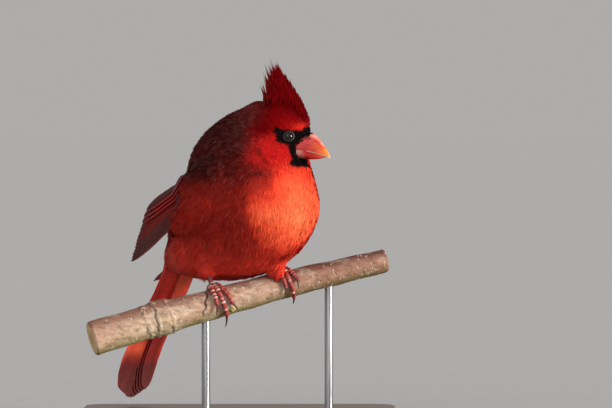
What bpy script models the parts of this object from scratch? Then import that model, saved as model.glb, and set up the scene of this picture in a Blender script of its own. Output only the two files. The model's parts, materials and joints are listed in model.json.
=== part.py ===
"""Northern cardinal at life size on a cut length of branch, held by a plain display stand.

The bird is modelled in millimetres and turned to metres where a mesh is made.
Lengths along the body are forward, right and height from the middle of the torso.
"""
import math

import bmesh
import bpy
from mathutils import Vector
from mathutils.bvhtree import BVHTree

# Units and the clearance kept between neighbouring pieces
MM = 0.001
GAP = 0.3

# Where the bird stands and how it is turned
BODY_X = 8.0
BODY_Y = -19.0
BODY_YAW = math.radians(47.0)
HEAD_X = 24.7
HEAD_Y = -33.7
HEAD_YAW = math.radians(17.0)

# Torso: height, middle, half length and half width of each level cut
TORSO_LEVELS = (
    (187.5, 9.0, 4.5, 6.0),
    (184.0, 6.5, 11.0, 12.0),
    (179.0, 2.5, 18.5, 19.0),
    (170.0, -1.8, 27.0, 26.5),
    (160.0, -3.0, 34.5, 31.5),
    (150.0, -1.9, 39.0, 34.5),
    (138.0, -0.8, 42.5, 37.0),
    (125.0, -0.6, 44.5, 38.0),
    (114.0, -5.5, 46.5, 36.5),
    (103.0, -14.5, 48.5, 33.5),
    (95.0, -22.5, 45.0, 29.0),
    (89.0, -26.5, 38.0, 23.5),
    (84.8, -28.0, 24.0, 15.5),
    (82.9, -28.0, 9.0, 7.0),
)

# Head: distance forward, half width, top and bottom of each cross cut
HEAD_CUTS = (
    (-18.5, 6.0, 176.0, 163.0),
    (-14.5, 11.5, 182.0, 157.0),
    (-9.0, 14.0, 185.5, 152.0),
    (-4.0, 14.3, 187.0, 150.0),
    (1.0, 12.9, 187.0, 149.0),
    (6.0, 10.1, 185.3, 149.5),
    (10.0, 7.8, 182.6, 151.5),
    (13.0, 6.1, 180.0, 154.5),
    (16.0, 4.6, 176.5, 160.0),
    (18.6, 2.4, 172.8, 166.5),
)
THROAT = (6.0, 147.5)
THROAT_HALF = (13.6, 13.0, 7.5)
BODY_VOXEL = 2.0
BODY_KEPT = 0.138

# Bill: distance forward, half width, ridge, mouth line and underside
BILL_CUTS = (
    (8.5, 5.7, 167.5, 160.4, 155.4),
    (11.5, 6.1, 168.6, 160.1, 154.9),
    (14.5, 5.8, 169.4, 159.6, 154.4),
    (17.5, 5.0, 169.4, 158.9, 154.1),
    (20.3, 4.2, 168.6, 158.2, 154.0),
    (23.2, 3.3, 166.2, 157.4, 154.2),
    (26.0, 2.3, 162.8, 156.5, 154.8),
)
UPPER_TIP_CUTS = ((28.3, 1.4, 159.4, 155.7), (29.6, 0.8, 156.9, 154.9))
UPPER_TIP = (30.3, 154.9)
LOWER_TIP = (28.0, 155.35)
NOSTRIL = (18.2, 166.3)
NOSTRIL_RADIUS = 0.75

# Eyes and lids
EYE_RADIUS = 3.1
EYE_FORWARD = 7.1
EYE_SIDE = 7.2
EYE_HEIGHT = 167.2
EYE_AXIS = (0.34, 0.94, 0.04)
LID_THICKNESS = 0.6
LID_REACH = math.radians(100.0)
LID_OPENING = math.radians(52.0)
LID_SLANT = math.radians(9.0)

# Crest: where its feathers root and end on the midline, front to back, and its core
CREST_ROOTS = (
    (16.6, 171.0), (14.2, 177.0), (11.2, 180.5), (7.6, 182.5), (3.8, 183.5), (0.0, 184.0),
    (-3.8, 184.0), (-7.2, 183.0), (-10.0, 181.0),
)
CREST_TIPS = (
    (16.6, 179.8), (13.2, 187.4), (9.6, 193.6), (5.6, 199.6), (1.4, 205.0), (-3.0, 210.0),
    (-7.0, 208.6), (-10.2, 203.4), (-11.6, 195.6),
)
CREST_CORE = (
    (3.0, 180.0, 9.0, 3.6),
    (1.6, 188.0, 7.4, 2.4),
    (-1.0, 195.0, 5.0, 1.3),
    (-3.6, 201.0, 2.4, 0.5),
)
CREST_SIDES = 9
CREST_MIDDLE = 5
CREST_VANE = (5.2, 0.6)
CREST_HALF_WIDTH = (6.6, 1.0)
CREST_FAN = (0.6, 1.0, 0.85, 0.25)
CREST_LAYER = 0.95
CREST_WISPS = 4
WISP_WIDTH = 2.6

# Tail: the place of its root and tip, its width and its cover of small feathers
TAIL_ROOT = (-56.0, 104.0)
TAIL_TIP = (-105.0, 9.4)
TAIL_SWAY = 0.45
TAIL_FEATHERS = 12
TAIL_SPREAD = (0.5, 1.75)
TAIL_VANE = (11.0, 0.55)
TAIL_STEP = 0.87
TAIL_LIFT = 1.6
TAIL_STAGGER = 0.012
TAIL_FAN = (0.8, 1.0, 1.05, 0.92, 0.42)
TAIL_SUNK = 0.36
TAIL_MIDDLE_GAP = 0.2
TAIL_PARTING = 16.0
COVERT_LENGTH = 52.0

# Wing outline on the bird's side: forward, right and height along both edges
WING_LOWER = (
    (12.0, 35.0, 134.0), (-4.0, 36.0, 126.0), (-20.4, 34.5, 118.0), (-38.2, 31.0, 109.3),
    (-58.0, 27.0, 99.5), (-77.0, 24.0, 90.0),
)
WING_UPPER = (
    (4.0, 31.0, 154.0), (-14.0, 30.0, 150.0), (-31.0, 26.5, 143.0), (-49.0, 28.0, 131.0),
    (-65.0, 26.5, 116.5), (-78.5, 24.0, 93.5),
)
FAR_WING_LOWER = (
    (-2.0, 35.0, 134.0), (-15.0, 35.0, 126.0), (-29.0, 33.5, 117.0), (-45.0, 28.0, 107.0),
    (-67.0, 17.0, 94.0), (-88.0, 5.5, 79.5),
)
FAR_WING_UPPER = (
    (-8.0, 31.0, 153.0), (-22.0, 29.0, 149.0), (-37.0, 25.5, 142.0), (-55.0, 24.0, 129.0),
    (-74.0, 16.0, 111.0), (-89.5, 5.5, 82.0),
)
ARM_LENGTH = 0.37
ARM_THICKNESS = (1.4, 3.6, 4.6, 5.0, 4.6, 3.4, 1.6)
ARM_EDGE = 1.2
ARM_TAPER = 0.27
VANE_THICKNESS = 0.55
FLIGHT_FAN = (0.65, 1.0, 0.9, 0.28)
COVERT_FAN = (0.7, 1.0, 0.85, 0.35)
SHINGLE_SLOPE = 0.62

# Flight feathers: how many, step across the wing, width and where root and tip lie
PRIMARIES = 8
SECONDARIES = 6
TERTIALS = 3
FLIGHT_STEP = 1.28
TIP_FIRST = -2.1
TIP_STEP = 1.35
TIP_LOWEST = 0.1
TIP_SHARE = 0.7
OUTER_TIPS = (0.92, 0.965)
FLIGHT_WIDTH = 4.6
TERTIAL_WIDTH = 7.0
TERTIAL_SUNK = 4.4
TERTIAL_STEP = 1.6
TERTIAL_LIFT = (1.1, 0.9)
TERTIAL_SLOPE = 0.36
GREATER_COVERTS = 6
MEDIAN_COVERTS = 5
COVERT_WIDTH = 6.4
COVERT_STEP = 3.6
GREATER_TIER = (0.16, 0.425, 0.6, 2.8)
MEDIAN_TIER = (0.08, 0.27, 1.8, 3.9)
COVERT_SLOPE = 0.3
COVERT_STAGGER = 0.007
COVERT_RISE = 0.4

# Branch: line of its middle, its radius at each cut end and the bark's unevenness
PERCH_LEFT = (-84.0, -45.4, 50.6)
PERCH_RIGHT = (86.0, -3.1, 94.6)
PERCH_SAG = 1.6
PERCH_RADIUS = (10.1, 6.8)
PERCH_RINGS = 34
PERCH_SIDES = 13
BARK_HEIGHT = 0.35
KNOT_PLACE = 0.235
KNOT_HEIGHT = 1.3
KNOT_LENGTH = 0.035

# Stand
BASE_SIZE = (186.0, 136.0, 6.0)
BASE_CORNER = 14.0
BASE_BEVEL = 1.5
ROD_RADIUS = 2.5
ROD_COLLAR = (6.5, 2.0)
ROD_PLACES = (0.385, 0.805)

# Feet: place along the branch and how far each toe goes round it, in degrees
TOE_RADIUS = 1.15
CLAW_RADIUS = 0.75
CLAW_TIP = 0.12
FOOT_PLACES = {"right": 0.4195, "left": 0.652}
FOOT_TURN = {"right": math.radians(6.0), "left": math.radians(28.0)}
FOOT_PAD = (3.0, 2.2, 1.3)
TOES = {
    "right": (
        (-1.6, -1.7, 92.0, -3.6, 124.0),
        (0.8, 2.9, 138.0, 1.0, 172.0),
        (2.6, 7.6, 100.0, 10.2, 130.0),
        (-0.3, -2.2, -92.0, -2.6, -132.0),
    ),
    "left": (
        (-2.2, -1.4, 94.0, -2.8, 124.0),
        (0.6, 2.6, 140.0, 2.0, 172.0),
        (2.6, 6.4, 78.0, 5.4, 108.0),
        (-0.6, -1.4, -92.0, -2.0, -132.0),
    ),
}
TOE_START = 12.0
CLAW_LIFT = {"right": (0.8, 4.2, 0.8, 0.6), "left": (0.8, 2.4, 0.8, 0.6)}
SHANK_TOP = {"right": (-17.6, -24.5), "left": (23.0, -25.0)}
SHANK_RADIUS = (1.35, 1.55)
THIGH_RADIUS = {"right": 5.0, "left": 3.0}
THIGH_DEPTH = {"right": 2.2, "left": 0.7}

COLOURS = {
    "red": (0.42, 0.018, 0.012, 0.85),
    "crimson": (0.30, 0.012, 0.012, 0.85),
    "maroon": (0.16, 0.014, 0.014, 0.85),
    "coral": (0.70, 0.13, 0.06, 0.35),
    "eye": (0.012, 0.008, 0.006, 0.06),
    "scaled skin": (0.24, 0.035, 0.03, 0.5),
    "bark": (0.30, 0.20, 0.13, 0.8),
    "steel": (0.55, 0.55, 0.56, 0.3),
    "walnut": (0.10, 0.05, 0.028, 0.5),
}


def material(name):
    """A plain surface of one colour, metal where the name is steel."""
    found = bpy.data.materials.get(name)
    if found:
        return found
    red, green, blue, roughness = COLOURS[name]
    made = bpy.data.materials.new(name)
    made.use_nodes = True
    shader = made.node_tree.nodes["Principled BSDF"]
    shader.inputs["Base Color"].default_value = (red, green, blue, 1.0)
    shader.inputs["Roughness"].default_value = roughness
    shader.inputs["Metallic"].default_value = 1.0 if name == "steel" else 0.0
    return made


def place(forward, right, height):
    """A point given from the middle of the torso, in the object's frame."""
    cos, sin = math.cos(BODY_YAW), math.sin(BODY_YAW)
    return Vector((
        BODY_X + forward * cos - right * sin,
        BODY_Y - forward * sin - right * cos,
        height,
    ))


def head_place(forward, right, height):
    """A point given from the middle of the head, in the object's frame."""
    cos, sin = math.cos(HEAD_YAW), math.sin(HEAD_YAW)
    return Vector((
        HEAD_X + forward * cos - right * sin,
        HEAD_Y - forward * sin - right * cos,
        height,
    ))


def head_direction(forward, right, height):
    """A direction in the head's frame, of unit length."""
    return (head_place(forward, right, height) - head_place(0, 0, 0)).normalized()


def body_direction(forward, right, height):
    """A direction in the torso's frame, of unit length."""
    return (place(forward, right, height) - place(0, 0, 0)).normalized()


def between(values, share):
    """A value read from evenly spaced ones by a smooth curve through them."""
    spans = len(values) - 1
    at = min(max(share, 0.0), 1.0) * spans
    index = min(int(at), spans - 1)
    step = at - index
    near, far = values[index], values[index + 1]
    before = values[index - 1] if index else 2 * near - far
    after = values[index + 2] if index + 2 <= spans else 2 * far - near
    return 0.5 * (
        2 * near
        + (far - before) * step
        + (2 * before - 5 * near + 4 * far - after) * step ** 2
        + (3 * near - before - 3 * far + after) * step ** 3
    )


def rows_between(rows, share):
    """A row read in the same way from a table of rows."""
    return [between([row[column] for row in rows], share) for column in range(len(rows[0]))]


def make_object(name, mesh, surface):
    """An object in the scene with one material and smooth faces."""
    made = bpy.data.objects.new(name, mesh)
    bpy.context.scene.collection.objects.link(made)
    mesh.materials.clear()
    mesh.materials.append(material(surface))
    for face in mesh.polygons:
        face.material_index = 0
    mesh.shade_smooth()
    mesh.set_sharp_from_angle(angle=math.radians(50.0))
    return made


def mesh_of(shape, name):
    """A mesh in metres from a bmesh in millimetres, with its faces pointing out."""
    bmesh.ops.recalc_face_normals(shape, faces=shape.faces)
    bmesh.ops.scale(shape, vec=(MM, MM, MM), verts=shape.verts)
    mesh = bpy.data.meshes.new(name)
    shape.to_mesh(mesh)
    shape.free()
    return mesh


def loft(rings, start=None, end=None):
    """A closed bmesh through rings of points, its ends closed by a face or by a point."""
    shape = bmesh.new()
    laid = [[shape.verts.new(point) for point in ring] for ring in rings]
    count = len(rings[0])
    for near, far in zip(laid, laid[1:]):
        for side in range(count):
            turn = (side + 1) % count
            shape.faces.new((near[side], near[turn], far[turn], far[side]))
    for ring, point in ((laid[0], start), (laid[-1], end)):
        if point is None:
            shape.faces.new(ring)
            continue
        pole = shape.verts.new(point)
        for side in range(count):
            shape.faces.new((ring[side], ring[(side + 1) % count], pole))
    bmesh.ops.triangulate(shape, faces=[face for face in shape.faces if len(face.verts) > 4])
    return shape


def solid(name, surface, rings, start=None, end=None):
    """A named object lofted through rings."""
    return make_object(name, mesh_of(loft(rings, start, end), name), surface)


def ring_round(middle, across, upward, sides, turn=0.0):
    """Points round an ellipse given by its two half axes."""
    angles = [turn + 2 * math.pi * side / sides for side in range(sides)]
    return [middle + across * math.cos(angle) + upward * math.sin(angle) for angle in angles]


def slab(outer, inner):
    """A closed bmesh between two grids of points, split alike on both faces."""
    shape = bmesh.new()
    top = [[shape.verts.new(point) for point in row] for row in outer]
    low = [[shape.verts.new(point) for point in row] for row in inner]
    rows, columns = len(top), len(top[0])
    for row in range(rows - 1):
        for column in range(columns - 1):
            for face, way in ((top, 1), (low, -1)):
                corners = (
                    face[row][column], face[row][column + 1],
                    face[row + 1][column + 1], face[row + 1][column],
                )
                shape.faces.new((corners[0], corners[1], corners[2])[::way])
                shape.faces.new((corners[0], corners[2], corners[3])[::way])
    rim = [(0, column) for column in range(columns)]
    rim += [(row, columns - 1) for row in range(1, rows)]
    rim += [(rows - 1, column) for column in range(columns - 2, -1, -1)]
    rim += [(row, 0) for row in range(rows - 2, 0, -1)]
    for (row, column), (next_row, next_column) in zip(rim, rim[1:] + rim[:1]):
        near, far = top[row][column], top[next_row][next_column]
        near_low, far_low = low[row][column], low[next_row][next_column]
        shape.faces.new((near, near_low, far_low))
        shape.faces.new((near, far_low, far))
    return shape


def vane(name, surface, points, across, normals, widths, thickness):
    """One feather's vane along a row of points."""
    outer, inner = [], []
    for point, side_way, normal, wide in zip(points, across, normals, widths):
        for face, way in ((outer, 0.5), (inner, -0.5)):
            middle = point + normal * (way * thickness)
            face.append([middle - side_way * wide / 2, middle + side_way * wide / 2])
    return make_object(name, mesh_of(slab(outer, inner), name), surface)


def ball(name, surface, middle, halves, axes, rings=12, sides=24):
    """An ellipsoid with its half axes along three directions."""
    lengthwise, across, upward = axes
    cuts = []
    for index in range(1, rings):
        angle = math.pi * index / rings
        wide = math.sin(angle)
        cuts.append(ring_round(
            middle - lengthwise * halves[0] * math.cos(angle),
            across * halves[1] * wide, upward * halves[2] * wide, sides,
        ))
    return solid(
        name, surface, cuts,
        middle - lengthwise * halves[0], middle + lengthwise * halves[0],
    )


def bake(made):
    """The object with its modifiers applied."""
    bpy.context.view_layer.update()
    evaluated = made.evaluated_get(bpy.context.evaluated_depsgraph_get())
    old = made.data
    made.data = bpy.data.meshes.new_from_object(evaluated)
    made.modifiers.clear()
    bpy.data.meshes.remove(old)
    return made


def remove(objects):
    """Take finished helpers out of the scene."""
    for old in objects:
        bpy.data.objects.remove(old, do_unlink=True)


def boolean(made, operation, tools):
    """Join or cut an object with a group of closed ones, which are then removed."""
    group = bpy.data.collections.new("tools")
    bpy.context.scene.collection.children.link(group)
    for tool in tools:
        bpy.context.scene.collection.objects.unlink(tool)
        group.objects.link(tool)
    step = made.modifiers.new("join", "BOOLEAN")
    step.operation = operation
    step.solver = "EXACT"
    step.operand_type = "COLLECTION"
    step.collection = group
    bake(made)
    remove(list(group.objects))
    bpy.data.collections.remove(group)
    return keep_largest(made)


def keep_largest(made):
    """Keep the closed surface that reaches furthest."""
    shape = bmesh.new()
    shape.from_mesh(made.data)
    left = set(shape.faces)
    surfaces = []
    while left:
        seed = left.pop()
        surface = [seed]
        front = [seed]
        while front:
            for edge in front.pop().edges:
                for face in edge.link_faces:
                    if face in left:
                        left.remove(face)
                        surface.append(face)
                        front.append(face)
        surfaces.append(surface)
    if len(surfaces) > 1:
        kept = max(surfaces, key=reach_of)
        lost = [face for surface in surfaces if surface is not kept for face in surface]
        bmesh.ops.delete(shape, geom=lost, context="FACES")
    shape.to_mesh(made.data)
    shape.free()
    return made


def reach_of(faces):
    """The diagonal of the box round a surface."""
    points = [vert.co for face in faces for vert in face.verts]
    low = [min(point[axis] for point in points) for axis in range(3)]
    high = [max(point[axis] for point in points) for axis in range(3)]
    return math.dist(low, high)


def copy_of(made, name):
    """A second object with its own mesh."""
    twin = bpy.data.objects.new(name, made.data.copy())
    bpy.context.scene.collection.objects.link(twin)
    return twin


def trim(made, point, normal):
    """Cut away what lies past a plane and close the cut."""
    shape = bmesh.new()
    shape.from_mesh(made.data)
    cut = bmesh.ops.bisect_plane(
        shape, geom=shape.verts[:] + shape.edges[:] + shape.faces[:], dist=1e-7,
        plane_co=point * MM, plane_no=normal, clear_outer=True,
    )
    rim = [item for item in cut["geom_cut"] if isinstance(item, bmesh.types.BMEdge)]
    filled = bmesh.ops.edgeloop_fill(shape, edges=rim)
    bmesh.ops.triangulate(shape, faces=filled["faces"])
    bmesh.ops.recalc_face_normals(shape, faces=shape.faces)
    shape.to_mesh(made.data)
    shape.free()
    return made


def surface_of(made):
    """A search tree of an object's faces, in millimetres."""
    points = [vert.co / MM for vert in made.data.vertices]
    return BVHTree.FromPolygons(points, [face.vertices[:] for face in made.data.polygons])


def clear_of(tree, point, distance):
    """The point itself, or moved out to the given distance from a surface."""
    found, normal, _, _ = tree.find_nearest(point)
    height = (point - found).dot(normal)
    if height >= distance:
        return point
    return found + normal * distance


def torso_form():
    """The body without its head, one level cut above another."""
    rings = []
    count = 30
    for index in range(count):
        height, middle, long, wide = rows_between(TORSO_LEVELS, index / (count - 1))
        rings.append(ring_round(
            place(middle, 0, height),
            body_direction(1, 0, 0) * long, body_direction(0, 1, 0) * wide, 48,
        ))
    top, bottom = TORSO_LEVELS[0], TORSO_LEVELS[-1]
    return solid(
        "torso_form", "red", rings,
        place(top[1], 0, top[0] + 0.8), place(bottom[1], 0, bottom[0] - 0.4),
    )


def head_form():
    """The head without its crest, from the nape to the forehead."""
    rings = []
    count = 22
    for index in range(count):
        forward, wide, top, bottom = rows_between(HEAD_CUTS, index / (count - 1))
        middle = head_place(forward, 0, (top + bottom) / 2)
        rings.append(ring_round(
            middle, head_direction(0, 1, 0) * wide, Vector((0, 0, (top - bottom) / 2)), 32,
        ))
    back, front = HEAD_CUTS[0], HEAD_CUTS[-1]
    return solid(
        "head_form", "red", rings,
        head_place(back[0] - 1.6, 0, (back[2] + back[3]) / 2),
        head_place(front[0] + 0.8, 0, (front[2] + front[3]) / 2),
    )


def throat_form():
    """The fluffed feathers under the bill."""
    axes = (head_direction(1, 0, 0), head_direction(0, 1, 0), Vector((0, 0, 1)))
    return ball("throat_form", "red", head_place(THROAT[0], 0, THROAT[1]), THROAT_HALF, axes)


def tail_point(share, across, lift=0.0):
    """A place on the tail: share of its length, distance across and height off it."""
    sway = share - TAIL_SWAY * math.sin(2 * math.pi * share) / (2 * math.pi)
    forward = TAIL_ROOT[0] + (TAIL_TIP[0] - TAIL_ROOT[0]) * sway
    height = TAIL_ROOT[1] + (TAIL_TIP[1] - TAIL_ROOT[1]) * share
    run = (TAIL_TIP[0] - TAIL_ROOT[0]) * (1 - TAIL_SWAY * math.cos(2 * math.pi * share))
    fall = TAIL_TIP[1] - TAIL_ROOT[1]
    length = math.hypot(run, fall)
    return place(forward + lift * fall / length, across, height - lift * run / length)


def tail_length():
    """The length of the tail from root to tip."""
    return math.dist(TAIL_ROOT, TAIL_TIP)


def covert_form():
    """The soft feathers over and under the root of the tail."""
    rings = []
    count = 12
    for index in range(count):
        along = index / (count - 1)
        share = -0.12 + along * (COVERT_LENGTH / tail_length() + 0.12)
        wide = 15.5 - 5.0 * along ** 1.5
        thick = 12.5 * (1 - along) ** 0.8 + 2.2
        middle = tail_point(share, 0, -0.5)
        rings.append(ring_round(
            middle, body_direction(0, 1, 0) * wide,
            (tail_point(share, 0, 1) - tail_point(share, 0, 0)) * thick, 28,
        ))
    return solid("covert_form", "red", rings, None, tail_point(share + 0.03, 0, -0.5))


def whole_body():
    """Torso, neck, head and the root of the tail in one smooth skin."""
    made = boolean(torso_form(), "UNION", [head_form(), throat_form(), covert_form()])
    made.name = "body"
    even = made.modifiers.new("even", "REMESH")
    even.mode = "VOXEL"
    even.voxel_size = BODY_VOXEL * MM
    soft = made.modifiers.new("soft", "SMOOTH")
    soft.factor = 0.5
    soft.iterations = 4
    lighter = made.modifiers.new("lighter", "DECIMATE")
    lighter.ratio = BODY_KEPT
    bake(made)
    shape = bmesh.new()
    shape.from_mesh(made.data)
    bmesh.ops.triangulate(shape, faces=shape.faces)
    shape.to_mesh(made.data)
    shape.free()
    return made


def part_line(points, facing):
    """A cut plane through two points seen from the side, facing one way."""
    first, second = points
    along = (second - first).normalized()
    side = facing.cross(along).cross(along)
    normal = -side.normalized() if side.dot(facing) < 0 else side.normalized()
    return first, normal


def neck_cuts():
    """The planes between head and neck and between neck and torso."""
    upper = part_line(
        (head_place(-15.0, 0, 186.0), head_place(16.0, 0, 142.0)), head_direction(1, 0, 0.6),
    )
    lower = part_line(
        (place(-26.0, 0, 172.0), place(44.0, 0, 126.0)), body_direction(0.5, 0, 1),
    )
    return upper, lower


def tail_cut():
    """The plane where the tail's own feathers leave the rump."""
    share = TAIL_PARTING / tail_length()
    along = (tail_point(share + 0.01, 0) - tail_point(share, 0)).normalized()
    return tail_point(share, 0), along


def bill_ring(forward, wide, low, high, grow, bend):
    """A rounded cut through one half of the bill, flat where the halves meet."""
    ring = []
    corners = 7
    for index in range(corners + 1):
        angle = math.pi * index / corners
        side = math.cos(angle)
        rise = math.sin(angle) ** bend
        ring.append(head_place(
            forward, side * (wide + grow),
            low + (high - low) * rise + (grow if rise > 0.01 else -grow) * (1 if high > low else -1),
        ))
    return ring


def bill_form(name, upper, grow=0.0):
    """Half of the bill, or the same form grown to cut the room for it."""
    rings = []
    for forward, wide, ridge, mouth, under in BILL_CUTS:
        back = grow if forward == BILL_CUTS[0][0] else 0.0
        if upper:
            rings.append(bill_ring(forward - back, wide, mouth + GAP / 2, ridge, grow, 0.8))
        else:
            rings.append(bill_ring(forward - back, wide - 0.5, mouth - GAP / 2, under, grow, 0.7))
    if upper:
        for forward, wide, ridge, mouth in UPPER_TIP_CUTS:
            rings.append(bill_ring(forward, wide, mouth + GAP / 2, ridge, grow, 0.8))
        tip = head_place(UPPER_TIP[0], 0, UPPER_TIP[1])
    else:
        tip = head_place(LOWER_TIP[0], 0, LOWER_TIP[1])
    return solid(name, "coral", rings, None, tip)


def nostril(side):
    """A small oval pit in the side of the upper bill."""
    middle = head_place(NOSTRIL[0], side * 4.1, NOSTRIL[1])
    axes = (head_direction(0.8, 0, -0.6), head_direction(0, side, 0), head_direction(0.6, 0, 0.8))
    halves = (NOSTRIL_RADIUS * 1.5, 1.4, NOSTRIL_RADIUS)
    return ball("nostril", "coral", middle, halves, axes, 6, 10)


def eye_middle(side):
    """The middle of one eye."""
    return head_place(EYE_FORWARD, side * EYE_SIDE, EYE_HEIGHT)


def eye_axes(side):
    """Where one eye looks, and the two directions across it."""
    look = head_direction(EYE_AXIS[0], side * EYE_AXIS[1], EYE_AXIS[2])
    across = look.cross(Vector((0, 0, 1))).normalized()
    return look, across, across.cross(look).normalized()


def eye_ball(name, side, radius, rings, sides):
    """An eye, or the room for it."""
    look, across, upward = eye_axes(side)
    return ball(name, "eye", eye_middle(side), (radius,) * 3, (look, across, upward), rings, sides)


def lids(side):
    """Upper and lower lid in one ring with an almond opening round the eye."""
    look, across, upward = eye_axes(side)
    middle = eye_middle(side)
    inner = EYE_RADIUS + GAP
    outer = inner + LID_THICKNESS
    sides = 16
    rings = []
    outline = (
        (inner, 0.0), (inner + LID_THICKNESS * 0.8, -0.06), (outer, 0.3), (outer, 1.0),
        (inner, 1.0), (inner, 0.5),
    )
    for radius, reach in outline:
        ring = []
        for index in range(sides):
            turn = 2 * math.pi * index / sides
            opening = LID_OPENING - LID_SLANT * math.sin(turn) ** 2
            angle = opening + (LID_REACH - opening) * reach
            way = across * math.cos(turn) + upward * math.sin(turn)
            ring.append(middle + (look * math.cos(angle) + way * math.sin(angle)) * radius)
        rings.append(ring)
    shape = bmesh.new()
    laid = [[shape.verts.new(point) for point in ring] for ring in rings]
    for near, far in zip(laid, laid[1:] + laid[:1]):
        for index in range(sides):
            turn = (index + 1) % sides
            shape.faces.new((near[index], near[turn], far[turn], far[index]))
    return make_object("lids", mesh_of(shape, "lids"), "crimson")


def crest_core():
    """The bundle of shafts that the crest's feathers lie on."""
    rings = []
    count = 5
    for index in range(count):
        forward, height, long, wide = rows_between(CREST_CORE, index / (count - 1))
        rings.append(ring_round(
            head_place(forward, 0, height),
            head_direction(1, 0, 0) * long, head_direction(0, 1, 0) * wide, 10,
        ))
    return solid("core", "crimson", rings)


def crest_vane(share, side, length, width, lift, lean=0.0):
    """One crest feather: share of the way back, side of the midline, length and width."""
    root_forward, root_height = rows_between(CREST_ROOTS, share)
    tip_forward, tip_height = rows_between(CREST_TIPS, share)
    rise = tip_height - root_height
    run = tip_forward - root_forward
    points, across, normals = [], [], []
    for index in range(len(CREST_FAN)):
        along = length * index / (len(CREST_FAN) - 1)
        bow = math.sin(math.pi * along) * 0.06 * rise
        level = along + 0.25 * along * (1 - along)
        wide = CREST_HALF_WIDTH[0] + (CREST_HALF_WIDTH[1] - CREST_HALF_WIDTH[0]) * level
        wide += lift * (0.3 + 0.7 * along)
        points.append(head_place(
            root_forward + run * along ** 1.15 + bow + lean * along ** 2,
            side * wide, root_height + rise * along,
        ))
    for index in range(len(points)):
        before, after = points[max(index - 1, 0)], points[min(index + 1, len(points) - 1)]
        way = (after - before).normalized()
        if side:
            outward = head_direction(0.1, side, 0.25)
            flat = outward.cross(way).normalized()
        else:
            flat = head_direction(0, 1, 0)
        across.append(flat)
        normals.append(way.cross(flat).normalized())
    widths = [width * factor for factor in CREST_FAN]
    return vane("crest_vane", "crimson", points, across, normals, widths, CREST_VANE[1])


def crest():
    """The raised crest, feather by feather over its core."""
    made = [crest_core()]
    for index in range(CREST_SIDES):
        share = index / (CREST_SIDES - 1)
        width = CREST_VANE[0] * (0.82 + 0.3 * math.sin(math.pi * share))
        lift = CREST_LAYER * (index % 2)
        for side in (-1, 1):
            length = 0.97 - 0.05 * (index % 2) - 0.02 * side
            made.append(crest_vane(share, side, length, width, lift))
    for index in range(CREST_MIDDLE):
        share = 0.04 + 0.56 * index / (CREST_MIDDLE - 1)
        made.append(crest_vane(share, 0, 1.0, CREST_VANE[0] * 0.7, 0.0))
    for index in range(CREST_WISPS):
        share = 0.72 + 0.28 * index / (CREST_WISPS - 1)
        length = 1.06 - 0.05 * (index % 2)
        lean = -0.8 - 0.5 * (index % 2)
        made.append(crest_vane(share, 0, length, WISP_WIDTH, 0.0, lean))
    return made


def head(body, upper_cut):
    """Head with its crest, lids, and the rooms for the eyes and the bill."""
    made = copy_of(body, "head")
    point, normal = upper_cut
    trim(made, point + normal * GAP / 2, -normal)
    socket = EYE_RADIUS + GAP + LID_THICKNESS / 2
    boolean(made, "UNION", crest())
    boolean(made, "DIFFERENCE", [eye_ball("room", side, socket, 8, 16) for side in (-1, 1)])
    boolean(made, "DIFFERENCE", [bill_form("room", True, GAP)])
    boolean(made, "DIFFERENCE", [bill_form("room", False, GAP * 1.15)])
    boolean(made, "UNION", [lids(-1), lids(1)])
    return made


def neck(body, upper_cut, lower_cut):
    """The neck between the two parting planes."""
    made = copy_of(body, "neck")
    point, normal = upper_cut
    trim(made, point - normal * GAP / 2, normal)
    point, normal = lower_cut
    trim(made, point + normal * GAP / 2, -normal)
    return keep_largest(made)


def torso(body, lower_cut, rear_cut):
    """The trunk from the neck to the root of the tail."""
    made = copy_of(body, "torso")
    point, normal = lower_cut
    trim(made, point - normal * GAP / 2, normal)
    point, normal = rear_cut
    trim(made, point - normal * GAP / 2, normal)
    return keep_largest(made)


def tail(body, rear_cut):
    """The tail's long feathers in one fan, out of the soft feathers at their root."""
    made = copy_of(body, "tail")
    point, normal = rear_cut
    trim(made, point + normal * GAP / 2, -normal)
    keep_largest(made)
    return boolean(made, "UNION", [tail_vane(index) for index in range(TAIL_FEATHERS)])


def tail_vane(index):
    """One of the tail's long feathers, the middle ones on top and the outer ones lowest."""
    off_middle = index - (TAIL_FEATHERS - 1) / 2
    side = 1 if off_middle > 0 else -1
    place_out = abs(off_middle)
    drop = TAIL_LIFT - place_out * TAIL_STEP
    reach = 1.0 - TAIL_STAGGER * place_out
    outer, inner = [], []
    for row, factor in enumerate(TAIL_FAN):
        share = TAIL_SUNK + (reach - TAIL_SUNK) * row / (len(TAIL_FAN) - 1)
        spread = TAIL_SPREAD[0] + (TAIL_SPREAD[1] - TAIL_SPREAD[0]) * share ** 1.3
        half = TAIL_VANE[0] * factor / 2
        near = max(place_out * spread - half, TAIL_MIDDLE_GAP)
        far = place_out * spread + half
        for face, lift in ((outer, drop + TAIL_VANE[1]), (inner, drop)):
            face.append([tail_point(share, side * near, lift), tail_point(share, side * far, lift)])
    return make_object("tail_vane", mesh_of(slab(outer, inner), "tail_vane"), "maroon")


def wing_place(shape, along, across, height=0.0):
    """A place on the wing: share of its length, millimetres up from its lower edge, and off it."""
    lower, upper, side, tree = shape

    def sheet(at, up):
        low, high = Vector(rows_between(lower, at)), Vector(rows_between(upper, at))
        point = low + (high - low) * (up / (high - low).length)
        return clear_of(tree, place(point.x, side * point.y, point.z), GAP + 0.15)

    point = sheet(along, across)
    lengthwise = sheet(min(along + 0.02, 1.0), across) - sheet(along - 0.02, across)
    upward = sheet(along, across + 1.0) - sheet(along, across - 1.0)
    outward = lengthwise.cross(upward).normalized() * -side
    return point + outward * height


def wing_width(shape, along):
    """The width of the wing at a share of its length."""
    low, high = Vector(rows_between(shape[0], along)), Vector(rows_between(shape[1], along))
    return (high - low).length


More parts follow.
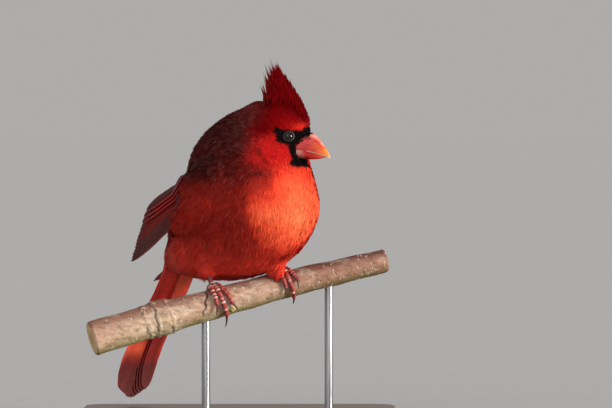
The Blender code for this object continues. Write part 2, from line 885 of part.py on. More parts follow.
def wing_arm(name, shape):
    """The feathered arm that the flight feathers and coverts root in."""
    outer, inner = [], []
    rows, columns = 9, 6
    for row in range(rows):
        along = ARM_LENGTH * row / (rows - 1)
        thick = between(ARM_THICKNESS, row / (rows - 1))
        wide = wing_width(shape, along)
        narrow = ARM_TAPER * (1 - row / (rows - 1)) ** 4 - 0.02
        top, low = [], []
        for column in range(columns):
            part = column / (columns - 1)
            edge = 1 - abs(2 * part - 1) ** 5
            up = wide * (narrow + (1 - 2 * narrow) * part)
            low.append(wing_place(shape, along, up))
            top.append(wing_place(shape, along, up, ARM_EDGE + (thick - ARM_EDGE) * edge))
        outer.append(top)
        inner.append(low)
    return make_object(name, mesh_of(slab(outer, inner), name), "maroon")


def wing_vane(shape, places, width, slope, lift, fan):
    """One feather of the wing, its lower edge at the places given and its upper edge tucked in."""
    root, tip, low_root, low_tip = places
    count = len(fan)
    outer, inner = [], []
    for row, factor in enumerate(fan):
        share = row / (count - 1)
        along = root + (tip - root) * share
        edge = low_root + (low_tip - low_root) * share
        top, low = [], []
        for way in (-0.5, 0.5):
            off_middle = way * width * factor
            up = edge + width / 2 + off_middle
            height = lift + slope * (width / 2 - off_middle)
            low.append(wing_place(shape, along, up, height))
            top.append(wing_place(shape, along, up, height + VANE_THICKNESS))
        outer.append(top)
        inner.append(low)
    return make_object("vane", mesh_of(slab(outer, inner), "vane"), "maroon")


def reach_along(shape, width):
    """How far along the wing it is still as wide as given."""
    along = 1.0
    while along > ARM_LENGTH and wing_width(shape, along) < width:
        along -= 0.01
    return along


def flight_vanes(shape):
    """Primaries, secondaries and tertials, each lying over the one below it."""
    made = []
    for index in range(PRIMARIES + SECONDARIES):
        low = 0.2 + FLIGHT_STEP * index
        low_tip = max(TIP_FIRST + TIP_STEP * index, TIP_LOWEST)
        tip = reach_along(shape, low_tip + TIP_SHARE * FLIGHT_WIDTH)
        if index < len(OUTER_TIPS):
            tip = OUTER_TIPS[index]
        root = 0.17 + 0.008 * index
        if index >= PRIMARIES:
            root = 0.2 + 0.006 * (index - PRIMARIES)
        made.append(wing_vane(
            shape, (root, tip, low, low_tip), FLIGHT_WIDTH, SHINGLE_SLOPE, 0.25, FLIGHT_FAN,
        ))
    first = 0.2 + FLIGHT_STEP * (PRIMARIES + SECONDARIES)
    for index in range(TERTIALS):
        low = first - TERTIAL_SUNK + TERTIAL_STEP * index
        tip = reach_along(shape, low + 0.6 + TIP_SHARE * TERTIAL_WIDTH)
        lift = TERTIAL_LIFT[0] + TERTIAL_LIFT[1] * index
        places = (0.24, tip, low, low + 0.6)
        made.append(wing_vane(shape, places, TERTIAL_WIDTH, TERTIAL_SLOPE, lift, FLIGHT_FAN))
    return made


def covert_vanes(shape):
    """Greater and median coverts in two tiers over the roots of the flight feathers."""
    made = []
    for count, tier in ((GREATER_COVERTS, GREATER_TIER), (MEDIAN_COVERTS, MEDIAN_TIER)):
        root, tip, first, lift = tier
        for index in range(count):
            low = first + COVERT_STEP * index
            places = (root, tip + COVERT_STAGGER * index, low, low + COVERT_RISE)
            made.append(wing_vane(shape, places, COVERT_WIDTH, COVERT_SLOPE, lift, COVERT_FAN))
    return made


def wing(name, lower, upper, side, tree):
    """A folded wing that lies on the trunk and reaches past it."""
    shape = (lower, upper, side, tree)
    return boolean(wing_arm(name, shape), "UNION", flight_vanes(shape) + covert_vanes(shape))


def perch_middle(share):
    """The middle of the branch at a share of its length."""
    left, right = Vector(PERCH_LEFT), Vector(PERCH_RIGHT)
    point = left.lerp(right, share)
    point.z += PERCH_SAG * math.sin(math.pi * share)
    return point


def perch_axes(share):
    """The branch's direction, the way up from it and the way to its near side."""
    along = (perch_middle(share + 0.01) - perch_middle(share - 0.01)).normalized()
    near = along.cross(Vector((0, 0, 1))).normalized()
    return along, near.cross(along).normalized(), near


def perch_radius(share, angle):
    """The branch's radius with its taper, its knot and the unevenness of the bark."""
    plain = PERCH_RADIUS[0] + (PERCH_RADIUS[1] - PERCH_RADIUS[0]) * share
    knot = KNOT_HEIGHT * math.exp(-((share - KNOT_PLACE) / KNOT_LENGTH) ** 2)
    uneven = math.sin(9 * share * math.pi + 2 * angle) * math.cos(5 * share * math.pi - angle)
    return plain + knot * (1 + 0.4 * math.cos(angle - 0.6)) + BARK_HEIGHT * uneven


def perch_place(share, angle, off=0.0):
    """A place round the branch, the angle going from its top to its near side."""
    _, upward, near = perch_axes(share)
    radius = perch_radius(share, angle) + off
    return perch_middle(share) + (upward * math.cos(angle) + near * math.sin(angle)) * radius


def perch():
    """The cut length of branch."""
    rings = []
    for index in range(PERCH_RINGS):
        share = index / (PERCH_RINGS - 1)
        angles = [2 * math.pi * side / PERCH_SIDES for side in range(PERCH_SIDES)]
        rings.append([perch_place(share, angle) for angle in angles])
    return solid("stand_perch", "bark", rings)


def tube(name, surface, points, radii, sides=8, start=None, end=None):
    """A round rod of changing thickness through a row of points."""
    rings = []
    side_way = None
    for index, point in enumerate(points):
        before = points[max(index - 1, 0)]
        after = points[min(index + 1, len(points) - 1)]
        along = (after - before).normalized()
        if side_way is None:
            side_way = along.orthogonal().normalized()
        side_way = (side_way - along * side_way.dot(along)).normalized()
        other = along.cross(side_way)
        rings.append(ring_round(point, side_way * radii[index], other * radii[index], sides))
    return solid(name, surface, rings, start, end)


def toe(share, length, start, reach, claw_start, claw_end, lift):
    """One toe laid round the branch, with its claw."""
    middle_share = share + start / length
    end_share = share + reach[0] / length
    tip_share = share + claw_start / length
    points, radii = [], []
    way = 1 if reach[1] > 0 else -1
    steps = 7
    for index in range(steps + 1):
        along = index / steps
        angle = math.radians(way * TOE_START + (reach[1] - way * TOE_START) * along)
        place_at = middle_share + (end_share - middle_share) * along
        knuckle = 0.12 * math.cos(along * 6 * math.pi)
        radius = TOE_RADIUS * (1.08 - 0.22 * along) + knuckle
        points.append(perch_place(place_at, angle, GAP + 1.12 * TOE_RADIUS))
        radii.append(radius)
    steps = 4
    for index in range(1, steps + 1):
        along = index / steps
        angle = math.radians(reach[1] + (claw_end - reach[1]) * along)
        place_at = end_share + (tip_share - end_share) * along
        off = GAP + 1.12 * TOE_RADIUS + lift * along * (1.6 - 0.6 * along)
        points.append(perch_place(place_at, angle, off))
        radii.append(CLAW_RADIUS + (CLAW_TIP - CLAW_RADIUS) * along)
    return tube("toe", "scaled skin", points, radii, 7, perch_place(
        middle_share, math.radians(-way * 4.0), GAP + 1.12 * TOE_RADIUS))


def foot_base(side):
    """The joint of shank and toes on the branch."""
    return perch_place(FOOT_PLACES[side], FOOT_TURN[side], GAP + FOOT_PAD[2] + 0.2)


def under_belly(side, tree, across=(0.0, 0.0)):
    """The lowest point of the belly over the shank's top, or beside it."""
    x, y = SHANK_TOP[side]
    found = tree.ray_cast(Vector((x + across[0], y + across[1], 70.0)), Vector((0, 0, 1)))[0]
    return found


def foot(side, tree):
    """A shank and four toes that grip the branch."""
    length = (Vector(PERCH_RIGHT) - Vector(PERCH_LEFT)).length
    share = FOOT_PLACES[side]
    pieces = []
    for (start, end, angle, claw, claw_angle), lift in zip(TOES[side], CLAW_LIFT[side]):
        pieces.append(toe(share, length, start, (end, angle), claw, claw_angle, lift))
    base_point = foot_base(side)
    top = under_belly(side, tree) - Vector((0, 0, 2 * GAP + THIGH_DEPTH[side]))
    level = (top - base_point).normalized().to_2d().length
    top.z -= level * SHANK_RADIUS[1] * 1.2
    along, upward, near = perch_axes(share)
    pad = ball("pad", "scaled skin", base_point, FOOT_PAD, (along, near, upward), 8, 12)
    points = [base_point.lerp(top, step / 5) for step in range(6)]
    radii = [SHANK_RADIUS[1]] + [SHANK_RADIUS[0]] * 5
    shank = tube("foot_" + side, "scaled skin", points, radii, 10)
    return boolean(shank, "UNION", [pad] + pieces)


def thigh(side, tree):
    """The feathered end of the leg, a low swelling of the belly round the shank."""
    sides, steps = 12, 3
    reach = THIGH_RADIUS[side]
    down = Vector((0, 0, -1))
    upper, lower = [], []
    for step in range(1, steps + 1):
        part = step / steps
        high, low = [], []
        for index in range(sides):
            turn = 2 * math.pi * index / sides
            offset = (reach * part * math.cos(turn), reach * part * math.sin(turn))
            skin = under_belly(side, tree, offset) + down * GAP
            high.append(skin)
            low.append(skin + down * (0.15 + (THIGH_DEPTH[side] - 0.15) * (1 - part ** 2)))
        upper.append(high)
        lower.append(low)
    middle = under_belly(side, tree) + down * GAP
    return solid(
        "leg_" + side, "red", upper + lower[::-1], middle, middle + down * THIGH_DEPTH[side],
    )


def rod(name, share, perch_tree):
    """An upright rod with a collar on the base, its top shaped to the branch."""
    middle = perch_middle(share)
    foot_point = Vector((middle.x, middle.y, BASE_SIZE[2] + GAP))
    profile = ((ROD_COLLAR[0], 0.0), (ROD_COLLAR[0], ROD_COLLAR[1]), (ROD_RADIUS, ROD_COLLAR[1]))
    rings = []
    across, upward = Vector((1, 0, 0)), Vector((0, 1, 0))
    for radius, height in profile:
        rings.append(ring_round(
            foot_point + Vector((0, 0, height)), across * radius, upward * radius, 20,
        ))
    top = []
    for point in ring_round(foot_point, across * ROD_RADIUS, upward * ROD_RADIUS, 20):
        hit = perch_tree.ray_cast(point, Vector((0, 0, 1)))[0]
        top.append(hit - Vector((0, 0, 1.3 * GAP)))
    rings.append(top)
    middle_hit = perch_tree.ray_cast(foot_point, Vector((0, 0, 1)))[0]
    return solid(name, "steel", rings, None, middle_hit - Vector((0, 0, 1.3 * GAP)))


def base():
    """A flat base with rounded corners and a small bevel round its top."""
    wide, deep, high = BASE_SIZE
    corner_steps = 6

    def outline(height, inset):
        ring = []
        radius = BASE_CORNER - inset
        for quarter, (sx, sy) in enumerate(((1, 1), (-1, 1), (-1, -1), (1, -1))):
            for step in range(corner_steps + 1):
                angle = math.pi / 2 * (quarter + step / corner_steps)
                ring.append(Vector((
                    sx * (wide / 2 - BASE_CORNER) + radius * math.cos(angle),
                    sy * (deep / 2 - BASE_CORNER) + radius * math.sin(angle),
                    height,
                )))
        return ring

    rings = [outline(0, 0), outline(high - BASE_BEVEL, 0), outline(high, BASE_BEVEL)]
    return solid("stand_base", "walnut", rings)


def build():
    """Every piece of the bird and its stand under one empty."""
    for old in list(bpy.data.objects):
        bpy.data.objects.remove(old, do_unlink=True)
    body = whole_body()
    upper_cut, lower_cut = neck_cuts()
    rear_cut = tail_cut()
    pieces = [head(body, upper_cut), neck(body, upper_cut, lower_cut)]
    trunk = torso(body, lower_cut, rear_cut)
    tree = surface_of(body)
    pieces += [trunk, tail(body, rear_cut)]
    remove([body])
    pieces.append(wing("wing_right", WING_LOWER, WING_UPPER, 1, tree))
    pieces.append(wing("wing_left", FAR_WING_LOWER, FAR_WING_UPPER, -1, tree))
    pieces.append(bill_form("bill_upper", True))
    boolean(pieces[-1], "DIFFERENCE", [nostril(-1), nostril(1)])
    pieces.append(bill_form("bill_lower", False))
    for name, side in (("eye_left", -1), ("eye_right", 1)):
        pieces.append(eye_ball(name, side, EYE_RADIUS, 9, 16))
    for side in ("left", "right"):
        pieces += [thigh(side, tree), foot(side, tree)]
    branch = perch()
    perch_tree = surface_of(branch)
    pieces += [branch, base()]
    for index, share in enumerate(ROD_PLACES):
        pieces.append(rod("stand_rod_" + str(index + 1), share, perch_tree))
    root = bpy.data.objects.new("cardinal", None)
    bpy.context.scene.collection.objects.link(root)
    for piece in pieces:
        piece.parent = root


build()
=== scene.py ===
"""Looks of a life-size northern cardinal on a cut branch, held by a plain display stand."""
import json
import math

import bmesh
import bpy
import numpy as np
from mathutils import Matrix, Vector, noise
from mathutils.bvhtree import BVHTree

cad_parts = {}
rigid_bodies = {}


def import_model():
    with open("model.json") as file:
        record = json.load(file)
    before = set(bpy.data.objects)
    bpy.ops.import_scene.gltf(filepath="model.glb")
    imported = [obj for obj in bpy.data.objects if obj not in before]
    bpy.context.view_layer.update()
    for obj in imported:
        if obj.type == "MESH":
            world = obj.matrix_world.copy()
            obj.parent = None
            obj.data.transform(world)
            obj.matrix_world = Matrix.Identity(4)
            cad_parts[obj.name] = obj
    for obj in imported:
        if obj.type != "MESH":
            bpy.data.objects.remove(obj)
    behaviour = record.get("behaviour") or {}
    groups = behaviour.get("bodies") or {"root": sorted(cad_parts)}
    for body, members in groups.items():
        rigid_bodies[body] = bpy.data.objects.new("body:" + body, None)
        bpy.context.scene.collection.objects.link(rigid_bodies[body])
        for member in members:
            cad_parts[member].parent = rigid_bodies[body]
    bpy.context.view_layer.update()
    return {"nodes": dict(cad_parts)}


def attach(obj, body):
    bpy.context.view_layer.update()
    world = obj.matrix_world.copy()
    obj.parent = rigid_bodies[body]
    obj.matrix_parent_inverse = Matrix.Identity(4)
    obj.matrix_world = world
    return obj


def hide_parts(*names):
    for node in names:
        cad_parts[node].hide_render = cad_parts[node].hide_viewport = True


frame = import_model()

MM = 0.001
SEEDS = {
    "roots": 11, "thinning": 20, "tufts": 100, "wing_right": 41, "wing_left": 42, "tail": 31,
    "crest": 8, "lores": 52, "bark": 77,
}

# Lengths are in millimetres from here on

# Where torso and head stand and how they are turned
BODY_ORIGIN = (8.0, -19.0)
BODY_YAW = math.radians(47.0)
HEAD_ORIGIN = (24.7, -33.7)
HEAD_YAW = math.radians(17.0)

# Torso and crest core: middle, height, half length and half width of each level cut
TORSO_LEVELS = (
    (9.0, 187.5, 4.5, 6.0), (6.5, 184.0, 11.0, 12.0), (2.5, 179.0, 18.5, 19.0),
    (-1.8, 170.0, 27.0, 26.5), (-3.0, 160.0, 34.5, 31.5), (-1.9, 150.0, 39.0, 34.5),
    (-0.8, 138.0, 42.5, 37.0), (-0.6, 125.0, 44.5, 38.0), (-5.5, 114.0, 46.5, 36.5),
    (-14.5, 103.0, 48.5, 33.5), (-22.5, 95.0, 45.0, 29.0), (-26.5, 89.0, 38.0, 23.5),
    (-28.0, 84.8, 24.0, 15.5), (-28.0, 82.9, 9.0, 7.0),
)
CREST_CORE = (
    (3.0, 178.0, 11.5, 6.6), (2.0, 187.0, 9.2, 4.2), (-1.0, 194.0, 6.6, 2.4),
    (-3.4, 200.0, 3.6, 1.2),
)
# Head: distance forward, half width, top and bottom of each cross cut
HEAD_CUTS = (
    (-18.5, 6.0, 176.0, 163.0), (-14.5, 11.5, 182.0, 157.0), (-9.0, 14.0, 185.5, 152.0),
    (-4.0, 14.3, 187.0, 150.0), (1.0, 12.9, 187.0, 149.0), (6.0, 10.1, 185.3, 149.5),
    (10.0, 7.8, 182.6, 151.5), (13.0, 6.1, 180.0, 154.5), (16.0, 4.6, 176.5, 160.0),
    (18.6, 2.4, 172.8, 166.5),
)
THROAT = (6.0, 0.0, 147.5)
THROAT_HALF = (13.6, 13.0, 7.5)
SKIN_VOXEL = 1.5
ARM_SPAN = (0.0, 0.34)
ARM_HALF = (21.5, 14.0, 11.5)
ARM_OUTWARD = (0.05, 1.0, 0.2)
FLANK_SHARE = 0.3
FLANK_HALF = (21.0, 12.0, 8.4)
THIGH_HALF = (5.5, 5.5, 6.5)
THIGH_HEIGHT = 89.5
# How far the skin lies under the outside of the coat
COAT_DEPTH = 2.0
FACE_DEPTH = 0.7
CROWN_DEPTH = 0.5
REAR_DEPTH = 0.4

# Bill: distance forward, half width, ridge, mouth line and underside
BILL_CUTS = (
    (8.5, 5.7, 167.5, 160.4, 155.4), (11.5, 6.1, 168.6, 160.1, 154.9),
    (14.5, 5.8, 169.4, 159.6, 154.4), (17.5, 5.0, 169.4, 158.9, 154.1),
    (20.3, 4.2, 168.6, 158.2, 154.0), (23.2, 3.3, 166.2, 157.4, 154.2),
    (26.0, 2.3, 162.8, 156.5, 154.8),
)
UPPER_TIP_CUTS = ((28.3, 1.4, 159.4, 155.7), (29.6, 0.8, 156.9, 154.9))
UPPER_TIP = (30.3, 154.9)
LOWER_TIP = (28.0, 155.35)
NOSTRIL = (18.2, 166.3)
NOSTRIL_SIZE = 0.75
NOSTRIL_DEPTH = 0.9

EYE_RADIUS = 3.1
EYE_PLACE = (7.1, 7.2, 167.2)
EYE_AXIS = (0.34, 0.94, 0.04)
# Clear of tufts round an eye, clear of their roots, and how far off a tuft is still cut short
EYE_CLEAR = 3.0
EYE_RIM = 3.5
EYE_REACH = 14.0
SHORTEST_TUFT = 0.4
IRIS_TURNS = ((21.0, 24.0), (50.0, 54.0))
# Lids: distance from the eye's middle and degrees from its axis, round the two folded rims
LID_PROFILE = (
    (3.12, 51.0), (3.42, 50.0), (3.68, 52.5), (3.72, 56.0), (3.58, 59.0), (3.66, 62.0),
    (3.86, 65.5), (3.84, 70.0), (3.62, 78.0), (3.3, 86.0), (3.0, 80.0), (2.95, 60.0),
)
# Rows of the lids made lighter as a painted highlight along the crest of each rim
LID_HIGHLIGHT_ROWS = (2, 3)

# Crest: roots and tips of its tufts from front to back, forward and up on the head
CREST_ROOTS = (
    (16.6, 171.0), (14.2, 177.0), (11.2, 180.5), (7.6, 182.5), (3.8, 183.5), (0.0, 184.0),
    (-3.8, 184.0), (-7.2, 183.0), (-10.0, 181.0),
)
CREST_TIPS = (
    (16.6, 179.8), (13.2, 187.4), (9.6, 193.6), (5.6, 199.6), (1.4, 205.0), (-3.0, 210.0),
    (-7.0, 208.6), (-10.2, 203.4), (-11.6, 195.6),
)
CREST_HALF_WIDTH = (6.6, 0.8)
# Tufts of the crest, of which the first stand on the brow and the last at the peak
CREST_TUFTS = 1000
BROW_TUFTS = 200
PEAK_TUFTS = 170

# Tail: forward and up of its root and tip, how it bends, and how its feathers lie
TAIL_ROOT = (-56.0, 104.0)
TAIL_TIP = (-105.0, 9.4)
TAIL_SWAY = 0.45
TAIL_FEATHERS = 12
TAIL_SPREAD = {1: (1.9, 1.95), -1: (0.7, 1.55)}
TAIL_WIDTH = 11.0
TAIL_STEP = 0.52
TAIL_LIFT = 1.0
TAIL_STAGGER = 0.012
TAIL_ASIDE = 2.8
# Form of a tail feather: shaft, where the tip starts to round, camber and thickness
TAIL_FORM = (-0.3, 0.8, 0.5, 0.32)
# Tail coverts: where they start as a share of the tail, length, and what they narrow down from
COVERT_START = -0.24
COVERT_LENGTH = 46.0
COVERT_WIDE = 19.5
COVERT_NARROWING = 13.0
COVERT_THICK = 11.5
COVERT_THIN = 1.6

# Wings: lower and upper edge from the shoulder to the tip, forward, aside and up
WING_LOWER = (
    (12.0, 35.0, 134.0), (-4.0, 36.0, 126.0), (-20.4, 34.5, 118.0), (-38.2, 31.0, 109.3),
    (-58.0, 27.0, 99.5), (-77.0, 24.0, 90.0),
)
WING_UPPER = (
    (4.0, 31.0, 154.0), (-14.0, 30.0, 150.0), (-31.0, 26.5, 143.0), (-49.0, 28.0, 131.0),
    (-65.0, 26.5, 116.5), (-78.5, 24.0, 93.5),
)
FAR_WING_LOWER = (
    (-2.0, 35.0, 134.0), (-15.0, 35.0, 126.0), (-29.0, 33.5, 117.0), (-45.0, 28.0, 107.0),
    (-67.0, 15.5, 94.0), (-88.0, 3.0, 79.5),
)
FAR_WING_UPPER = (
    (-8.0, 31.0, 153.0), (-22.0, 29.0, 149.0), (-37.0, 25.5, 142.0), (-55.0, 24.0, 129.0),
    (-74.0, 14.5, 111.0), (-89.5, 3.0, 82.0),
)
# Flight feathers: how far the lower edges are apart at the root and at the tip, and the
# ends of the outermost ones as shares of the wing
PRIMARIES = 8
SECONDARIES = 6
FLIGHT_STEP = 1.28
TIP_FIRST = -2.1
TIP_STEP = 1.35
TIP_LOWEST = 0.1
OUTER_TIPS = (0.92, 0.965)
FAR_REACH = 0.05
TERTIALS = 3
COVERTS = 9
# Form of the wing feathers: width, slope across, lift off the wing, where the tip starts to
# round as a share of the length, and camber
FEATHER_FORMS = {
    "primary": (5.6, 0.42, 0.3, 0.72, 0.25), "secondary": (5.6, 0.42, 0.3, 0.72, 0.25),
    "tertial": (7.2, 0.3, 1.6, 0.6, 0.5), "covert": (5.4, 0.22, 2.2, 0.55, 0.4),
}
FEATHER_THICK = 0.3
FEATHER_SHAFT = -0.35
TERTIAL_STEP = 0.85
# Surface that a wing lies in: rows along and up it, its span up from the lower edge, and
# how far it keeps off the body
SHEET_ALONG = 61
SHEET_UP = 41
SHEET_LOW = -3.0
SHEET_HIGH = 27.0
WING_CLEARANCE = 0.45
VANE_ROWS = 30
VANE_COLUMNS = 9
SHAFT_WIDTH = 0.35
SHAFT_HEIGHT = 0.22

# Branch: its two ends and their radii, its sag, and the knot as shares of its length
PERCH_LEFT = (-84.0, -45.4, 50.6)
PERCH_RIGHT = (86.0, -3.1, 94.6)
PERCH_SAG = 1.6
PERCH_RADIUS = (10.1, 6.8)
BARK_HEIGHT = 0.35
KNOT_PLACE = 0.235
KNOT_HEIGHT = 1.3
KNOT_LENGTH = 0.035
PERCH_CLEARANCE = 0.35
# The torn edge of bark, the bud (share, turn, height, size) and the ring scars
SLIT_PLACE = 0.386
BUD = (0.46, math.radians(129.0), 1.3, 1.7)
SCAR_PLACES = (0.172, 0.204, 0.25)
LENTICELS = 430
BARK_RINGS = 520
BARK_SIDES = 88
# Rings of the sawn ends by their share of the radius, and how light the wood is on each
END_PARTS = (0.94, 0.7, 0.4, 0.15)
END_TONES = (0.62, 0.9, 1.0, 0.86)
END_MIDDLE_TONE = 0.62

BASE_SIZE = (186.0, 136.0, 6.0)
BASE_CORNER = 14.0
BASE_BEVEL = 1.5
ROD_RADIUS = 2.5
ROD_COLLAR = (6.5, 2.0)
ROD_PLACES = (0.385, 0.805)
ROD_SUNK = 1.2
ROD_GAP = 0.05

TOE_RADIUS = 1.36
CLAW_RADIUS = 0.75
CLAW_TIP = 0.12
FOOT_PLACES = {"right": 0.4195, "left": 0.652}
FOOT_TURN = {"right": math.radians(6.0), "left": math.radians(28.0)}
FOOT_PAD = (3.0, 2.2, 1.3)
# Toes: place along the branch at start and end, turn at the end, and both for the claw's tip
TOES = {
    "right": (
        (-1.6, -1.7, 92.0, -3.6, 124.0), (0.8, 2.9, 138.0, 1.0, 172.0),
        (2.6, 7.6, 100.0, 10.2, 130.0), (-0.3, -2.2, -92.0, -2.6, -132.0),
    ),
    "left": (
        (-2.2, -1.4, 94.0, -2.8, 124.0), (0.6, 2.6, 140.0, 2.0, 172.0),
        (2.6, 6.4, 78.0, 5.4, 108.0), (-0.6, -1.4, -92.0, -2.0, -132.0),
    ),
}
TOE_START = 12.0
# How far each claw stands off the bark
CLAW_LIFT = {"right": (0.8, 4.2, 0.8, 0.6), "left": (0.8, 2.4, 0.8, 0.6)}
SHANK_TOP = {"right": (-17.6, -24.5), "left": (23.0, -25.0)}
SHANK_HEIGHT = 88.5
# Shank: radii at three shares of its height, and where its plates face
SHANK_RADII = ((0, 0.15, 1), (1.75, 1.4, 1.5))
SHANK_FRONT = (0.75, -0.65, 0.1)
# Left open between the two halves of the bill, and between the toes and the branch
GAP = 0.3

# Tufts: locks in each, stations along it, sideways stray, depth of its root, and its width
# on the head and on the body as a share of its length
LOCKS = 7
STATIONS = 5
STRAY = 0.13
ROOT_DEPTH = 0.25
HEAD_TUFT_WIDTH = 0.38
BODY_TUFT_WIDTH = 0.34
TUFTS_PER_PIECE = 4900
# How round a tuft is across, twice the radius of its form, and how round it is shaded
TUFT_ROUND = 46.0
TUFT_SHADED = 12.0
# Web that a tuft's locks stand on: shares along it and half widths as shares of the width
WEB_SHARES = (0.0, 0.3, 0.58)
WEB_HALVES = (0.12, 0.36, 0.34)
WEB_TIP = 0.82
WEB_SUNK = 0.12
# Roots: tried on each square of the spacing, kept apart by a share of it, found by cells
ROOTS_TRIED = 4.5
ROOT_SPACING = 0.6
ROOT_CELL = 1.6
NEIGHBOURS = [(x, y, z) for x in (-1, 0, 1) for y in (-1, 0, 1) for z in (-1, 0, 1)]
# Height above which the crest's own tufts stand in for the coat
CREST_BARE = 190.5
# Behind and below this the skin under the tail bears no tufts
TAIL_BARE = (-57.0, 95.0)
# Under a wing within this reach a share of the tufts is left out
WING_REACH = 6.0
THINNED = 0.4
# Share of their height that tufts keep under a wing and behind, and the steepest kept there
UNDER_WING_LIFT = 0.3
REAR_LIFT = 0.35
STEEPEST = 0.4
# Where the face feathers end over the bill: forward, height, slope and foremost
LORE_EDGE = (10.3, 160.2, 0.9, 20.5)
LORE_TUFTS = 5000
# Unwrap of the coat: middle on the bird, low corner and size on the map
BODY_CHART = ((-8.0, 0.0, 126.0), (0.01, 0.01), (0.6, 0.98))
HEAD_CHART = ((2.0, 0.0, 168.0), (0.63, 0.01), (0.36, 0.6))
TUFT_CHART = 0.003

# Toes: points along a toe and along its claw, sides of a claw and its sink into the toe
TOE_STATIONS = 44
CLAW_STATIONS = 18
CLAW_SIDES = 16
CLAW_SINK = 1.5
CLAW_SWELL = 1.12
SHANK_STATIONS = 40

# Camera, in metres, and light
TARGET = (0.0395, -0.023, 0.128)
CAMERA_AWAY = 2.5
CAMERA_RISE = math.radians(1.0)
LENS = 253.0
SENSOR = 36.0
SKY = 0.42
# Suns: strength, width in degrees, where they come from and colour
SUNS = {
    "key": (4.4, 22.0, (0.88, -0.42, 0.22), (1.0, 0.965, 0.92)),
    "fill": (1.1, 60.0, (-0.3, -0.8, 0.5), (0.94, 0.97, 1.0)),
}
FLOOR_HALF = 90000.0


def axes_of(yaw):
    """Forward, right and up of a form turned by the yaw."""
    cos, sin = math.cos(yaw), math.sin(yaw)
    return np.array(((cos, -sin, 0.0), (-sin, -cos, 0.0), (0.0, 0.0, 1.0)))


BODY = (np.array((*BODY_ORIGIN, 0.0)), axes_of(BODY_YAW))
HEAD = (np.array((*HEAD_ORIGIN, 0.0)), axes_of(HEAD_YAW))


def put(side, points):
    """Points given forward, right and up from the torso or the head, in the row frame."""
    return side[0] + np.asarray(points, float) @ side[1]


def way(side, direction):
    """A direction given from the torso or the head, in the row frame."""
    return np.asarray(direction, float) @ side[1]


def read(side, points):
    """Points of the row frame as forward, right and up from the torso or the head."""
    return (np.asarray(points) - side[0]) @ side[1].T


def unit(vectors):
    return vectors / np.maximum(np.linalg.norm(vectors, axis=-1, keepdims=True), 1e-9)


def smooth(low, high, value):
    part = np.clip((value - low) / (high - low), 0.0, 1.0)
    return part * part * (3 - 2 * part)


def mix(one, other, share):
    return one + (other - one) * share


def lay(colour, other, share):
    """Colours with another one laid over them, by a share for each place."""
    return mix(colour, other, np.clip(share, 0, 1)[..., None])


def band(value, middle, size, power=2):
    """1 at the middle and less on both sides of it."""
    return np.exp(-((value - middle) / size) ** power)


def spot(one, other, middle, size, power=2):
    """1 at a place given by two measures and less all round it."""
    return band(one, middle[0], size[0], power) * band(other, middle[1], size[1], power)


def cut_at(cuts, forward, column):
    """One column of a table of cuts, read at many distances forward."""
    table = np.array(cuts)
    return np.interp(forward, table[:, 0], table[:, column])


def rows_at(rows, share):
    """Rows of a table read by a smooth curve, for one share or many."""
    rows = np.asarray(rows, float)
    share = np.clip(np.asarray(share, float), 0.0, 1.0)
    spans = len(rows) - 1
    at = share * spans
    index = np.minimum(at.astype(int), spans - 1)
    step = (at - index)[..., None]
    near, far = rows[index], rows[index + 1]
    before = np.where((index > 0)[..., None], rows[np.maximum(index - 1, 0)], 2 * near - far)
    after = np.where(
        (index + 2 <= spans)[..., None], rows[np.minimum(index + 2, spans)], 2 * far - near)
    return 0.5 * (
        2 * near + (far - before) * step
        + (2 * before - 5 * near + 4 * far - after) * step ** 2
        + (3 * near - before - 3 * far + after) * step ** 3
    )


def loft_arrays(rings, start=None, end=None):
    """Points and faces of a closed tube through rings, its ends closed by a fan."""
    rings = np.asarray(rings, float)
    count, sides = rings.shape[:2]
    points = rings.reshape(-1, 3)
    start = rings[0].mean(0) if start is None else np.asarray(start, float)
    end = rings[-1].mean(0) if end is None else np.asarray(end, float)
    points = np.vstack([points, start, end])
    faces = []
    for row in range(count - 1):
        for side in range(sides):
            turn = (side + 1) % sides
            a, b = row * sides + side, row * sides + turn
            faces.append((a, b, b + sides, a + sides))
    first, last = len(points) - 2, len(points) - 1
    for side in range(sides):
        turn = (side + 1) % sides
        faces.append((turn, side, first))
        faces.append(((count - 1) * sides + side, (count - 1) * sides + turn, last))
    return points, faces


def ellipse(middle, across, upward, sides):
    angles = 2 * np.pi * np.arange(sides) / sides
    return middle + np.outer(np.cos(angles), across) + np.outer(np.sin(angles), upward)


def ball_arrays(middle, halves, axes, rings=16, sides=32):
    """An ellipsoid by its half sizes along three axes."""
    middle = np.asarray(middle, float)
    made = []
    for index in range(1, rings):
        angle = math.pi * index / rings
        made.append(ellipse(
            middle - axes[0] * halves[0] * math.cos(angle),
            axes[1] * halves[1] * math.sin(angle), axes[2] * halves[2] * math.sin(angle), sides))
    return loft_arrays(made, middle - axes[0] * halves[0], middle + axes[0] * halves[0])


def joined(parts):
    """Several pairs of points and faces as one."""
    points, faces, offset = [], [], 0
    for some, some_faces in parts:
        points.append(some)
        faces += [tuple(index + offset for index in face) for face in some_faces]
        offset += len(some)
    return np.vstack(points), faces


def plain_object(name, points, faces, material=None):
    """An object from points in millimetres."""
    mesh = bpy.data.meshes.new(name)
    mesh.from_pydata((np.asarray(points) * MM).tolist(), [], faces)
    shape = bmesh.new()
    shape.from_mesh(mesh)
    bmesh.ops.recalc_face_normals(shape, faces=shape.faces)
    shape.to_mesh(mesh)
    shape.free()
    mesh.shade_smooth()
    made = bpy.data.objects.new(name, mesh)
    bpy.context.scene.collection.objects.link(made)
    if material:
        mesh.materials.append(material)
    return made


